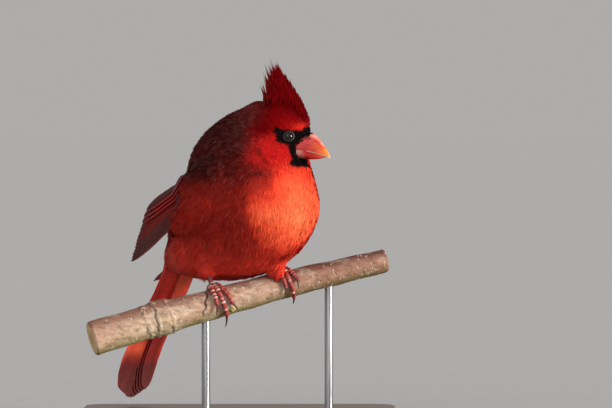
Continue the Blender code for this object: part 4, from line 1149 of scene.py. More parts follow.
def shader(name, roughness, specular):
    """A new material and its nodes."""
    made = bpy.data.materials.new(name)
    made.use_nodes = True
    nodes, links = made.node_tree.nodes, made.node_tree.links
    surface = nodes["Principled BSDF"]
    surface.inputs["Roughness"].default_value = roughness
    surface.inputs["Specular IOR Level"].default_value = specular
    return made, nodes, links, surface


def texture(nodes, links, scale, detail=3.0, rough=0.55, stretch=None, chart=None):
    """Noise read in the row frame or in a chart, drawn out where a stretch is given."""
    made = nodes.new("ShaderNodeTexNoise")
    made.inputs["Scale"].default_value = scale
    made.inputs["Detail"].default_value = detail
    made.inputs["Roughness"].default_value = rough
    source = chart or nodes.new("ShaderNodeTexCoord").outputs["Object"]
    if stretch:
        mapping = nodes.new("ShaderNodeMapping")
        mapping.inputs["Scale"].default_value = stretch
        links.new(source, mapping.inputs["Vector"])
        source = mapping.outputs["Vector"]
    links.new(source, made.inputs["Vector"])
    return made.outputs["Fac"]


def ramp(nodes, links, source, stops):
    """A value turned to colours by stops of a place and a colour each."""
    made = nodes.new("ShaderNodeValToRGB")
    elements = made.color_ramp.elements
    while len(elements) < len(stops):
        elements.new(0.5)
    for element, (place, colour) in zip(elements, stops):
        element.position = place
        element.color = (*colour, 1.0)
    links.new(source, made.inputs["Fac"])
    return made.outputs["Color"]


def toned(nodes, links, surface, colour, *layers):
    """The base colour: a colour multiplied by a ramp of each texture in turn."""
    for source, *stops in layers:
        made = nodes.new("ShaderNodeMix")
        made.data_type = "RGBA"
        made.blend_type = "MULTIPLY"
        made.inputs[0].default_value = 1.0
        links.new(colour, made.inputs[6])
        links.new(ramp(nodes, links, source, stops), made.inputs[7])
        colour = made.outputs[2]
    links.new(colour, surface.inputs["Base Color"])


def bump(nodes, links, surface, height, strength, distance):
    """Fine relief; the distance is in metres."""
    made = nodes.new("ShaderNodeBump")
    made.inputs["Strength"].default_value = strength
    made.inputs["Distance"].default_value = distance
    links.new(height, made.inputs["Height"])
    links.new(made.outputs["Normal"], surface.inputs["Normal"])


def marked(nodes):
    """The marking kept on the mesh."""
    made = nodes.new("ShaderNodeAttribute")
    made.attribute_name = "marking"
    return made.outputs["Color"]


def grained(name, roughness, specular, grain, stops, relief=None):
    """A material whose marking is toned by one grain, which can give its relief as well."""
    made, nodes, links, surface = shader(name, roughness, specular)
    fine = texture(nodes, links, *grain)
    toned(nodes, links, surface, marked(nodes), (fine, *stops))
    if relief:
        bump(nodes, links, surface, fine, *relief)
    return made


def vane_chart(nodes):
    """Places across and along each tuft or vane."""
    made = nodes.new("ShaderNodeUVMap")
    made.uv_map = "vane"
    return made.outputs["UV"]


def coat_material():
    """Soft barbs: the marking with fine streaks along each tuft."""
    made, nodes, links, surface = shader("plumage", 0.78, 0.03)
    streak = texture(nodes, links, 9.0, 2.0, 0.5, (9.0, 0.9, 1.0), vane_chart(nodes))
    cloud = texture(nodes, links, 210.0)
    toned(
        nodes, links, surface, marked(nodes),
        (streak, (0.3, (0.86, 0.84, 0.84)), (0.7, (1.1, 1.08, 1.08))),
        (cloud, (0.3, (0.86, 0.82, 0.82)), (0.72, (1.1, 1.12, 1.12))))
    return made


def make_coat(skin, tree, wings, material):
    """The tufts of head and body, in pieces of fewer than 200,000 triangles."""
    roots, facing = scatter(skin, SEEDS["roots"])
    keep = ~in_bill(roots, -0.3) & (roots[:, 2] < CREST_BARE)
    behind = read(BODY, roots)[:, 0] < TAIL_BARE[0]
    tail_up = unit(tail_point(0.2, 0, 1.0) - tail_point(0.2, 0, 0.0))
    keep &= ~(behind & (roots[:, 2] < TAIL_BARE[1]) & (facing @ tail_up < 0.25))
    for middle, look in EYES.values():
        offset = roots - middle
        flat = offset - np.outer(offset @ look, look)
        keep &= ~((np.linalg.norm(flat, axis=-1) < EYE_RIM) & (offset @ look > -2.0))
    under = np.array([
        wings.ray_cast(point + normal * 0.2, normal, WING_REACH)[0] is not None
        for point, normal in zip(roots, facing)])
    thinning = np.random.default_rng(SEEDS["thinning"])
    keep &= ~(under & (thinning.random(len(roots)) < THINNED))
    ways, sizes = lie_at(roots)
    steep = (facing * unit(ways)).sum(-1)
    far = (TAIL_ROOT[1] - roots[:, 2]) / (TAIL_ROOT[1] - TAIL_TIP[1])
    sizes[:, 0] *= 1 - 0.6 * smooth(0.08, 0.3, far) * behind
    keep &= ~((steep > STEEPEST) & behind)
    low = np.where(under, UNDER_WING_LIFT, 1.0) * np.where(behind, REAR_LIFT, 1.0)
    low *= 1 - 0.5 * smooth(20.0, 34.0, read(BODY, roots)[:, 0]) * (roots[:, 2] < 150.0)
    roots, facing, low, ways, sizes = roots[keep], facing[keep], low[keep], ways[keep], sizes[keep]
    on_head = (roots[:, 2] > 148.0) & (read(HEAD, roots)[:, 0] > -18.0)
    for name, chosen, width_share in (
        ("plumage_head", on_head, HEAD_TUFT_WIDTH),
        ("plumage_body", ~on_head, BODY_TUFT_WIDTH),
    ):
        indices = np.flatnonzero(chosen)
        parts = math.ceil(len(indices) / TUFTS_PER_PIECE)
        turn = np.arctan2(*(roots[indices, :2] - np.array(BODY_ORIGIN)).T)
        order = np.argsort(turn)
        for part in range(parts):
            some = indices[order[part * len(indices) // parts:(part + 1) * len(indices) // parts]]
            source = np.random.default_rng(SEEDS["tufts"] + part)
            lengths = sizes[some, 0] * source.uniform(0.8, 1.15, len(some))
            lengths = eye_shortening(roots[some], ways[some], lengths)
            lifts = sizes[some, 2] * source.uniform(0.55, 1.0, len(some))
            lifts *= np.clip(lengths / sizes[some, 0], 0.5, 1) * low[some]
            place, normal = spines(
                tree, roots[some], facing[some], ways[some], lengths, lifts, source)
            widths = lengths * width_share * source.uniform(0.85, 1.15, len(some))
            points, *rest = tufts(place, normal, widths, np.sqrt(lifts), source)
            coat_piece(
                name + "_" + str(part + 1), (off_perch(points), *rest), roots[some], material,
                source)


# Wings and tail

def grid_object(name, grids, material, under, nodes):
    """Closed vanes from outer faces, inner faces, colours and places; under dulls the inner."""
    points, triangles, colours, places = [], [], [], []
    offset = 0
    for top, low, colour, mark in grids:
        rows, columns = top.shape[:2]
        count = rows * columns
        index = np.arange(count).reshape(rows, columns)
        a, b = index[:-1, :-1].ravel(), index[:-1, 1:].ravel()
        c, d = index[1:, 1:].ravel(), index[1:, :-1].ravel()
        upper = np.vstack([np.stack([a, b, c], -1), np.stack([a, c, d], -1)])
        rim = np.concatenate([
            index[0, :], index[1:, -1], index[-1, -2::-1], index[-2:0:-1, 0]])
        after = np.roll(rim, -1)
        made = np.vstack([
            upper, upper[:, ::-1] + count,
            np.stack([rim, rim + count, after + count], -1),
            np.stack([rim, after + count, after], -1)])
        facing = np.cross(top[0, 1] - top[0, 0], top[1, 0] - top[0, 0]) @ (top[0, 0] - low[0, 0])
        if facing < 0:
            made = made[:, ::-1]
        triangles.append(made + offset)
        points += [top.reshape(-1, 3), low.reshape(-1, 3)]
        colours += [colour.reshape(-1, 3), mix(colour, UNDERWING, under).reshape(-1, 3)]
        places += [mark.reshape(-1, 2)] * 2
        offset += 2 * count
    piece = large_object(name, np.vstack(points), np.vstack(triangles), material)
    piece.data.set_sharp_from_angle(angle=math.radians(60.0))
    paint(piece, np.vstack(colours))
    map_points(piece, "vane", np.vstack(places))
    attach(piece, "root")
    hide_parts(*nodes)


def wing_sheet(shape, tree):
    """The surface that a folded wing lies in, as a grid of places and normals."""
    lower, upper, side = shape
    along = np.linspace(0.0, 1.0, SHEET_ALONG)
    low, high = rows_at(lower, along), rows_at(upper, along)
    span = np.linalg.norm(high - low, axis=-1)
    ups = np.linspace(SHEET_LOW, SHEET_HIGH, SHEET_UP)
    flat = low[:, None] + (high - low)[:, None] * (ups[None, :] / span[:, None])[..., None]
    flat[..., 1] *= side
    points = put(BODY, flat)
    found, normals = nearest(tree, points.reshape(-1, 3))
    found, normals = found.reshape(points.shape), normals.reshape(points.shape)
    height = ((points - found) * normals).sum(-1)
    lift = np.maximum(WING_CLEARANCE - height, 0.0)
    points = points + normals * lift[..., None]
    for _ in range(3):
        points[1:-1, 1:-1] = mix(points[1:-1, 1:-1], (
            points[:-2, 1:-1] + points[2:, 1:-1] + points[1:-1, :-2] + points[1:-1, 2:]) / 4, 0.5)
    out = np.cross(np.gradient(points, axis=0), np.gradient(points, axis=1))
    return points, unit(out) * -side


def on_sheet(sheet, along, up, height):
    """Places on a wing: share of its length, millimetres up from its lower edge, and off it."""
    points, normals = sheet
    rows, columns = points.shape[:2]
    at = np.clip(along, 0, 1.03) * (rows - 1)
    by = (up - SHEET_LOW) / (SHEET_HIGH - SHEET_LOW) * (columns - 1)
    row = np.clip(at.astype(int), 0, rows - 2)
    column = np.clip(by.astype(int), 0, columns - 2)
    u, v = (at - row)[..., None], (by - column)[..., None]

    def read_grid(values):
        return (
            values[row, column] * (1 - u) * (1 - v) + values[row + 1, column] * u * (1 - v)
            + values[row, column + 1] * (1 - u) * v + values[row + 1, column + 1] * u * v)
    return read_grid(points) + unit(read_grid(normals)) * height[..., None]


def vane_outline(share, blunt):
    """The half width of a feather along its length, from the sheath to the tip."""
    start = smooth(-0.05, 0.22, share) * 0.75 + 0.25
    tip = np.sqrt(np.clip(1 - np.clip((share - blunt) / (1 - blunt), 0, 1) ** 2, 0, 1))
    return start * np.maximum(tip, 0.03)


def vane_grid(place_of, width, shaft, blunt, camber, thick, source):
    """Upper face, lower face and vane places of one feather.

    place_of gives a place from the share of the length, the offset across and the height.
    """
    share = np.linspace(0, 1, VANE_ROWS)[:, None] ** 0.85
    across = np.linspace(-1, 1, VANE_COLUMNS)[None, :]
    outline = vane_outline(share, blunt)
    ragged = 1 + 0.03 * source.normal(size=(VANE_ROWS, 1)) * (np.abs(across) > 0.9)
    offset = across * outline * width / 2 * ragged
    ridge = SHAFT_HEIGHT * band((across - shaft) * width / 2, 0, SHAFT_WIDTH) * (1 - 0.7 * share)
    height = camber * (1 - across ** 2) * outline
    share, across = np.meshgrid(share, across, indexing="ij")
    top = place_of(share, offset, height + ridge + thick)
    low = place_of(share, offset, height)
    return top, low, np.stack([(across + 1) / 2, share], -1)


def wing_colours(mark, kind, source):
    """Black vanes with a red outer edge, broader on the tertials and paler on the primaries."""
    across, along = mark[..., 0], mark[..., 1]
    edge_at, edge_red = {
        "primary": (0.07, lin(112, 46, 44)), "secondary": (0.09, lin(156, 26, 25)),
        "tertial": (0.13, lin(156, 26, 25)), "covert": (0.18, lin(84, 20, 20))}[kind]
    edge = 1 - smooth(edge_at, edge_at + 0.07, across)
    inner = mix(lin(16, 7, 7), lin(84, 18, 18), smooth(0.26, 0.4, across)[..., None])
    if kind == "covert":
        inner = lin(40, 13, 13)
    colour = mix(inner, edge_red, edge[..., None])
    if kind == "primary":
        worn = smooth(0.35, 0.9, along) * edge
        colour = mix(colour, lin(140, 92, 88), 0.6 * worn[..., None])
    rim = 1 - smooth(0.0, 0.03, across)
    colour = mix(colour, lin(206, 84, 74), 0.3 * rim[..., None])
    return colour * source.uniform(0.85, 1.08)


def make_wing(name, shape, body_tree, material):
    """Primaries, secondaries, tertials and coverts, each over the one below it."""
    source = np.random.default_rng(SEEDS[name])
    sheet = wing_sheet(shape, body_tree)
    grids = []

    def add(kind, root, tip, low_root, low_tip, raised=0.0):
        """A feather by its ends along the wing and the heights of its lower edge."""
        width, slope, lift, blunt, camber = FEATHER_FORMS[kind]

        def place_of(share, offset, height):
            up = mix(low_root, low_tip, share) + width / 2 + offset
            off = lift + raised + slope * (width / 2 - offset) + height
            return on_sheet(sheet, mix(root, tip, share), up, off)
        top, low, mark = vane_grid(
            place_of, width, FEATHER_SHAFT, blunt, camber, FEATHER_THICK, source)
        grids.append((top, low, wing_colours(mark, kind, source), mark))

    shares = np.linspace(1.0, 0.37, 64)
    spans = np.linalg.norm(rows_at(shape[0], shares) - rows_at(shape[1], shares), axis=-1)

    def reach_along(wanted):
        """How far along the wing it is still as wide as given."""
        return shares[np.argmax(np.append(spans[:-1], 1e9) >= wanted)]

    for index in range(PRIMARIES + SECONDARIES):
        low = 0.2 + FLIGHT_STEP * index
        low_tip = max(TIP_FIRST + TIP_STEP * index, TIP_LOWEST)
        tip = reach_along(low_tip + 3.3)
        if index < len(OUTER_TIPS):
            tip = OUTER_TIPS[index] + (FAR_REACH if shape[2] < 0 else 0.0)
        root, kind = 0.17 + 0.008 * index, "primary"
        if index >= PRIMARIES:
            root, kind = 0.2 + 0.006 * (index - PRIMARIES), "secondary"
        tip += source.normal(0, 0.004)
        add(kind, root, tip, low, low_tip)
    first = 0.2 + FLIGHT_STEP * (PRIMARIES + SECONDARIES)
    for index in range(TERTIALS):
        low = first - 4.4 + 1.6 * index
        add("tertial", 0.24, reach_along(low + 5.4), low, low + 0.6, TERTIAL_STEP * index)
    for index in range(COVERTS):
        low = 0.4 + 2.2 * index
        add("covert", 0.2, 0.43 + 0.004 * index, low, low + 0.5)
    grid_object(name.replace("wing", "flight_feathers"), grids, material, 0.45, (name,))


def make_tail(material):
    """The twelve long tail feathers, the middle pair on top and the outer ones lowest, with painted
    light and shade on them.
    """
    source = np.random.default_rng(SEEDS["tail"])
    grids = []
    for index in range(TAIL_FEATHERS):
        off_middle = index - (TAIL_FEATHERS - 1) / 2
        side = 1 if off_middle > 0 else -1
        out = abs(off_middle)
        drop = TAIL_LIFT - out * TAIL_STEP
        reach = 1.0 - TAIL_STAGGER * out + source.normal(0, 0.003)

        def place_of(share, offset, height):
            along = mix(0.04, reach, share)
            spread = mix(*TAIL_SPREAD[side], along ** 1.3)
            across = side * (out * spread - offset) + TAIL_ASIDE * smooth(0.05, 0.4, along)
            return tail_point(along, across, drop + height - 0.02 * offset)
        top, low, mark = vane_grid(place_of, TAIL_WIDTH, *TAIL_FORM, source)
        across, along = mark[..., 0], mark[..., 1]
        # Painted light: orange patches where light shines through the feathers
        light_through = band(along, 0.68, 0.06) * (side > 0) * min(1.0, 0.2 * out)
        light_through = light_through + band(along, 0.22, 0.12) * (side < 0) * (out > 4)
        # Bright red above where the branch crosses the tail and darker red past it: painted
        # sunlight above and the branch's painted shadow below; the dusky tip is the feathers' own
        colour = np.broadcast_to(lin(240, 66, 52), mark.shape[:-1] + (3,))
        for other, share in (
            (lin(134, 36, 31), smooth(0.42, 0.62, along + 0.16 * (side < 0))),
            (lin(226, 74, 56), 0.5 * (1 - smooth(0.06, 0.2, across))),
            (lin(84, 24, 20), 0.6 * band(across, 0.35, 0.03)),
            (lin(250, 104, 70), 0.8 * light_through),
            (lin(88, 38, 36), 0.9 * smooth(0.72, 0.86, along)),
        ):
            colour = lay(colour, other, share)
        grids.append((top, low, colour * source.uniform(0.9, 1.1), mark))
    grid_object("tail_feathers", grids, material, 0.0, ("tail",))


def vane_material():
    """Firm vanes: the marking with slanting barbs on both sides of the shaft."""
    made, nodes, links, surface = shader("flight_feathers", 0.55, 0.18)
    barbs = texture(nodes, links, 16.0, 2.0, 0.5, (1.2, 9.0, 1.0), vane_chart(nodes))
    cloud = texture(nodes, links, 260.0)
    toned(
        nodes, links, surface, marked(nodes),
        (barbs, (0.3, (0.74, 0.72, 0.72)), (0.7, (1.14, 1.12, 1.12))),
        (cloud, (0.3, (0.84, 0.8, 0.8)), (0.72, (1.1, 1.12, 1.12))))
    bump(nodes, links, surface, barbs, 0.35, 0.0003)
    return made


# Crest

def make_crest(material):
    """The raised crest, tuft by tuft, with loose wisps at its tip and back edge."""
    source = np.random.default_rng(SEEDS["crest"])
    count = CREST_TUFTS
    share = source.random(count)
    side = np.where(source.random(count) < 0.5, -1.0, 1.0)
    layer = source.random(count) ** 0.8
    reach = 1.0 - 0.62 * layer * source.uniform(0.5, 1.0, count)
    lean = source.normal(0, 0.5, count) - 0.5 * smooth(0.6, 1.0, share)
    share[:BROW_TUFTS] *= 0.34
    peak = slice(count - PEAK_TUFTS, count)
    share[peak] = 0.46 + 0.36 * share[peak]
    layer[peak] *= 0.16
    reach[peak] = source.uniform(0.9, 1.05, count)[peak]
    root, tip = rows_at(CREST_ROOTS, share), rows_at(CREST_TIPS, share)
    wisp = (share > 0.5) & (layer < 0.3)
    reach = np.where(wisp, reach * source.uniform(0.95, 1.08, count), reach)
    short = (share > 0.56) & (source.random(count) < 0.8)
    reach = np.where(short, reach * (1 - 0.4 * smooth(0.56, 0.86, share)), reach)
    lean = np.where(wisp & ~short, lean - 1.2, lean)
    start = source.uniform(0.0, 0.45, count) * layer
    run, rise = (tip - root).T
    front = 1 - 0.6 * (1 - smooth(0.0, 0.35, share))
    normal = unit(np.stack([np.full(count, 0.15), side, np.full(count, 0.2)], -1)) @ HEAD[1]
    places = []
    for step in np.linspace(0, 1, STATIONS):
        along = start + (reach - start) * step
        bow = np.sin(np.pi * np.clip(along, 0, 1)) * 0.06 * rise
        wide = mix(*CREST_HALF_WIDTH, along + 0.25 * along * (1 - along))
        wide = wide * layer * front + 0.4 * step * layer
        places.append(put(HEAD, np.stack([
            root[:, 0] + run * along ** 1.15 + bow + lean * along ** 2,
            side * wide, root[:, 1] + rise * along], -1)))
    place, normal = np.stack(places, 1), np.stack([normal] * STATIONS, 1)
    length = np.linalg.norm(place[:, -1] - place[:, 0], axis=-1)
    widths = np.clip(length * 0.17, 1.3, 3.4) * source.uniform(0.8, 1.2, count)
    widths = np.where(wisp, widths * np.where(short, 0.7, 0.5), widths)
    tuft = tufts(place, normal, widths, np.full(count, 1.2), source, 0.9)
    coat_piece("plumage_crest", tuft, place[:, 0], material, source)


# Bill and eyes

def bill_ring(forward, wide, low, high, bend, corners=26):
    """Half an oval over a flat mouth edge."""
    angle = np.pi * np.arange(corners + 1) / corners
    side = np.sign(np.cos(angle)) * np.abs(np.cos(angle)) ** 0.9
    rise = np.sin(angle) ** bend
    return put(HEAD, np.stack([
        np.full(len(angle), forward), side * wide, low + (high - low) * rise], -1))


def bill_colours(points, upper):
    """Coral red with painted light, lighter on the upper half and with a pale painted highlight
    along the ridge; pale at the base below, and orange towards the tip.
    """
    head = read(HEAD, points)
    forward, height = head[:, 0], head[:, 2]
    ridge, mouth = cut_at(BILL_CUTS, forward, 2), cut_at(BILL_CUTS, forward, 3)
    rise = (height - mouth) / (ridge - mouth)
    grain = waver(points * (0.4, 0.4, 1.0), 1.6, 9)
    layers = (
        # Painted light: the upper half lighter and a pale painted highlight along the ridge, where
        # light falls on the top of the bill
        (lin(190, 44, 36), smooth(0.4, 0.7, rise) * (0.7 + 0.3 * grain)),
        (lin(232, 146, 134), smooth(0.72, 0.97, rise) * (0.8 + 0.3 * grain)),
        (lin(226, 100, 42), 0.8 * smooth(18.0, 26.0, forward) * (1 - smooth(0.5, 0.75, rise))),
        (lin(200, 70, 62), 0.6 * (1 - smooth(10.0, 14.0, forward))),
    ) if upper else (
        (lin(226, 150, 138), 0.9 * (1 - smooth(11.5, 17.0, forward))),
        (lin(222, 84, 40), 0.7 * smooth(19.0, 26.0, forward)),
    )
    colour = np.tile(lin(172, 24, 18), (len(points), 1))
    for other, share in (*layers, (lin(240, 140, 52), smooth(24.5, 30.0, forward))):
        colour = lay(colour, other, share)
    return colour * (1 + 0.1 * grain[:, None])


def bill_material():
    """Horn that light goes into a little."""
    made, nodes, links, surface = shader("bill", 0.27, 0.5)
    cloud = texture(nodes, links, 420.0, 4.0)
    toned(
        nodes, links, surface, marked(nodes),
        (cloud, (0.3, (0.84, 0.8, 0.78)), (0.72, (1.08, 1.06, 1.05))))
    bump(nodes, links, surface, texture(nodes, links, 900.0, 4.0), 0.25, 0.0003)
    surface.inputs["Subsurface Weight"].default_value = 0.15
    surface.inputs["Subsurface Radius"].default_value = (0.003, 0.001, 0.0006)
    surface.inputs["Subsurface Scale"].default_value = 1.0
    return made


def make_bill():
    """The two halves of the bill, with a nostril on each side of the upper one."""
    material = bill_material()
    upper = [(f, w, m + GAP / 2, r) for f, w, r, m, _ in BILL_CUTS]
    upper += [(f, w, m + GAP / 2, r) for f, w, r, m in UPPER_TIP_CUTS]
    lower = [(f, w - 0.5, m - GAP / 2, u) for f, w, _, m, u in BILL_CUTS]
    for name, rows, bend, tip in (
        ("bill_upper", upper, 0.8, UPPER_TIP), ("bill_lower", lower, 0.7, LOWER_TIP),
    ):
        rings = [bill_ring(*rows_at(rows, share), bend) for share in np.linspace(0, 1, 44)]
        points, faces = loft_arrays(rings, None, put(HEAD, (tip[0], 0, tip[1])))
        pit = np.zeros(len(points))
        if name == "bill_upper":
            head = read(HEAD, points)
            away = np.hypot((head[:, 0] - NOSTRIL[0]) / 1.3, head[:, 2] - NOSTRIL[1])
            pit = band(away, 0, NOSTRIL_SIZE) * (np.abs(head[:, 1]) > 1.0)
            inward = -np.sign(head[:, 1])[:, None] * HEAD[1][1]
            points = points + inward * (pit * NOSTRIL_DEPTH)[:, None]
        made = plain_object(name + "_horn", points, faces, material)
        made.data.set_sharp_from_angle(angle=math.radians(70.0))
        colour = bill_colours(points, name == "bill_upper")
        paint(made, mix(colour, lin(70, 20, 18), np.clip(pit * 1.2, 0, 0.9)[:, None]))
        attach(made, "root")
        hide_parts(name)


def make_lores(skin, material):
    """Short black feathers that run from the face over the upper base of the bill."""
    source = np.random.default_rng(SEEDS["lores"])
    horn = bpy.data.objects["bill_upper_horn"]
    tree = tree_of(skin, horn)
    points, normals = arrays_of(horn)
    faces = triangles_of(horn)
    chosen = faces[source.choice(len(faces), LORE_TUFTS)]
    roots, facing = points[chosen].mean(1), unit(normals[chosen].mean(1))
    head = read(HEAD, roots)
    forward, height, slope, foremost = LORE_EDGE
    edge = height + (head[:, 0] - forward) * slope
    keep = (head[:, 2] > edge + source.normal(0, 0.3, len(roots))) & (head[:, 0] < foremost)
    roots, facing = roots[keep], facing[keep]
    count = len(roots)
    side = np.sign(head[keep, 1])
    ways = np.stack([np.full(count, -1.0), 0.3 * side, np.full(count, 0.35)], -1) @ HEAD[1]
    lengths = eye_shortening(roots, ways, source.uniform(2.2, 3.6, count))
    place, normal = spines(
        tree, roots, facing, ways, lengths, source.uniform(0.5, 1.1, count), source)
    tuft = tufts(place, normal, lengths * 0.42, np.full(count, 0.7), source)
    coat_piece("plumage_lores", tuft, roots, material, source)


def eyelids(middle, look, across, upward):
    """Points, faces and colours of the two folded rims round an eye, with a painted highlight along
    their crests.
    """
    turns = 2 * np.pi * np.arange(64) / 64
    out = np.outer(np.cos(turns), across) + np.outer(np.sin(turns), upward)
    wobble = 1 + 0.008 * np.sin(turns * 11)
    rings = []
    for radius, degrees in LID_PROFILE:
        opening = np.radians(degrees - 12.0 * np.sin(turns + 0.25) ** 2)
        rings.append(middle + (
            np.outer(np.cos(opening), look) + out * np.sin(opening)[:, None])
            * (radius * wobble)[:, None])
    count = len(turns)
    faces = []
    for row in range(len(rings)):
        near, far = row * count, (row + 1) % len(rings) * count
        faces += [
            (near + i, near + (i + 1) % count, far + (i + 1) % count, far + i)
            for i in range(count)]
    # Painted highlight: the rows on the crest of the rims lighter
    edge = np.repeat(np.isin(np.arange(len(rings)), LID_HIGHLIGHT_ROWS), count)
    return np.vstack(rings), faces, mix(lin(13, 11, 11), lin(66, 60, 58), edge[:, None] * 0.25)


def make_eyes():
    """Glossy dark eyes with a brown iris, and lids in two folded rims."""
    eye = grained("eye", 0.05, 0.4, (2200.0,), ((0.3, (0.8,) * 3), (0.7, (1.1,) * 3)))
    lid = grained(
        "eyelid", 0.55, 0.4, (1500.0, 4.0), ((0.3, (0.7,) * 3), (0.7, (1.2,) * 3)),
        (0.5, 0.0003))
    for side, name in ((1, "right"), (-1, "left")):
        middle, look = EYES[side]
        across = unit(np.cross(look, (0, 0, 1)))
        axes = (look, across, unit(np.cross(across, look)))
        points, faces = ball_arrays(middle, (EYE_RADIUS,) * 3, axes, 40, 56)
        angle = np.degrees(np.arccos(np.clip(unit(points - middle) @ look, -1, 1)))
        iris = smooth(*IRIS_TURNS[0], angle) * (1 - smooth(*IRIS_TURNS[1], angle))
        made = plain_object("eyeball_" + name, points, faces, eye)
        paint(made, mix(lin(8, 6, 6), lin(34, 19, 13), iris[:, None]))
        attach(made, "root")
        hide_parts("eye_" + name)
        points, faces, colour = eyelids(middle, *axes)
        made = plain_object("eyelids_" + name, points, faces, lid)
        paint(made, colour)
        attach(made, "root")
        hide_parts("head")


# Feet

def scaled_tube(points, radii, outward, scutes, sides=18, ridge=0.09):
    """Rings of a tube with overlapping plates along its outer face, and how plated they are."""
    points = np.asarray(points, float)
    along = unit(np.gradient(points, axis=0))
    up = unit(outward - along * (outward * along).sum(-1, keepdims=True))
    side = np.cross(along, up)
    angles = 2 * np.pi * np.arange(sides) / sides
    length = np.concatenate([[0], np.cumsum(np.linalg.norm(np.diff(points, axis=0), axis=-1))])
    phase = (length / length[-1] * scutes + 0.12 * np.sin(length * 2.1)) % 1.0
    plate = phase ** 0.7
    top = np.clip(np.cos(angles), 0, 1) ** 0.6
    swell = 1 + ridge * (plate[:, None] - 0.4) * top[None, :]
    swell = swell + 0.02 * np.sin(angles * 5 + length[:, None] * 3)
    ring = (
        up[:, None] * np.cos(angles)[None, :, None] + side[:, None] * np.sin(angles)[None, :, None])
    rings = points[:, None] + ring * (radii[:, None] * swell)[..., None]
    worn = np.clip(0.5 + 0.7 * waver(points, 2.6, 15), 0.1, 1.0)
    edge = (worn * (1 - smooth(0.0, 0.16 + 0.24 * worn, phase)))[:, None]
    return rings, edge * smooth(0.05, 0.5, top)[None, :]


def toe_parts(share, length, toe, lift):
    """One toe with its claw: points, faces and colours."""
    start, end, angle, claw, claw_angle = toe
    middle_share, end_share, tip_share = (
        share + start / length, share + end / length, share + claw / length)
    turn = 1 if angle > 0 else -1
    along = np.linspace(0, 1, TOE_STATIONS)
    shares = mix(middle_share, end_share, along)
    off = GAP + 1.05 * TOE_RADIUS
    points = perch_place(shares, np.radians(mix(turn * TOE_START, angle, along)), off)
    back = perch_place(np.array([middle_share]), np.radians([-turn * 4.0]), off)
    points = np.vstack([back, points])
    knuckle = 0.13 * np.cos(along * 6 * np.pi)
    radii = TOE_RADIUS * (1.08 - 0.22 * along) + knuckle
    radii = np.append(radii[0] * 0.9, radii)
    outward = unit(points - perch_middle(np.append(middle_share, shares)))
    rings, edge = scaled_tube(points, radii, outward, 11 if abs(angle) > 110 else 8)
    parts = [loft_arrays(rings)]
    dark = np.clip(0.5 + 0.6 * waver(parts[0][0], 2.4, 14), 0, 1)
    tone = mix(lin(168, 52, 38), lin(98, 18, 18), 0.75 * dark[:, None])
    tone = mix(tone, lin(250, 232, 224), np.append(edge.ravel(), (0.0, 0.0))[:, None])
    along = np.linspace(0, 1, CLAW_STATIONS)
    shares = mix(end_share, tip_share, along)
    rise = off + lift * along * (1.6 - 0.6 * along)
    points = perch_place(shares, np.radians(mix(angle, claw_angle, along)), rise)
    radii = mix(CLAW_RADIUS * CLAW_SWELL, CLAW_TIP, along ** 0.9)
    outward = unit(points - perch_middle(shares))
    points = np.vstack([points[0] - (points[1] - points[0]) * CLAW_SINK, points])
    outward = np.vstack([outward[:1], outward])
    rings, _ = scaled_tube(
        points, np.append(radii[0], radii), outward, 1, CLAW_SIDES, 0.0)
    parts.append(loft_arrays(rings))
    shade = np.append(np.repeat(np.linspace(0, 1, len(rings)), CLAW_SIDES), (0.0, 1.0))
    horn = mix(lin(96, 46, 40), lin(58, 30, 26), shade[:, None])
    return *joined(parts), np.vstack([tone, horn])


def make_foot(side, material):
    """Shank, pad and four toes that grip the branch."""
    length = math.dist(PERCH_LEFT, PERCH_RIGHT)
    share = FOOT_PLACES[side]
    parts, colours = [], []
    for toe, lift in zip(TOES[side], CLAW_LIFT[side]):
        points, faces, colour = toe_parts(share, length, toe, lift)
        parts.append((points, faces))
        colours.append(colour)
    base = perch_place(share, FOOT_TURN[side], GAP + FOOT_PAD[2] + 0.2)
    top = np.array((*SHANK_TOP[side], SHANK_HEIGHT))
    points = base + (top - base) * np.linspace(-0.02, 1, SHANK_STATIONS)[:, None]
    radii = np.interp(np.linspace(0, 1, SHANK_STATIONS), *SHANK_RADII)
    outward = np.tile(unit(np.array(SHANK_FRONT)), (SHANK_STATIONS, 1))
    rings, edge = scaled_tube(points, radii, outward, 7)
    parts.append(loft_arrays(rings))
    pale = np.append(edge.ravel(), (0.0, 0.0))
    colours.append(mix(lin(112, 34, 32), lin(226, 196, 188), (0.9 * pale)[:, None]))
    along, upward, near = perch_axes(share)
    parts.append(ball_arrays(base, FOOT_PAD, (along, near, upward), 14, 28))
    grain = waver(parts[-1][0], 1.6, 5)[:, None]
    colours.append(mix(lin(150, 56, 50), lin(244, 226, 218), np.clip(0.5 + 0.9 * grain, 0, 1)))
    points, faces = joined(parts)
    made = plain_object("foot_" + side + "_scaled", points, faces, material)
    paint(made, np.vstack(colours))
    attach(made, "root")
    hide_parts("foot_" + side)


def foot_material():
    """Skin of the feet, with fine cells between the scales."""
    made, nodes, links, surface = shader("scaled_skin", 0.42, 0.5)
    cells = nodes.new("ShaderNodeTexVoronoi")
    cells.inputs["Scale"].default_value = 1500.0
    links.new(nodes.new("ShaderNodeTexCoord").outputs["Object"], cells.inputs["Vector"])
    cloud = texture(nodes, links, 700.0, 4.0)
    toned(
        nodes, links, surface, marked(nodes),
        (cloud, (0.3, (0.72, 0.68, 0.68)), (0.72, (1.14, 1.1, 1.1))))
    bump(nodes, links, surface, cells.outputs["Distance"], 0.5, 0.0003)
    return made


# Branch and stand

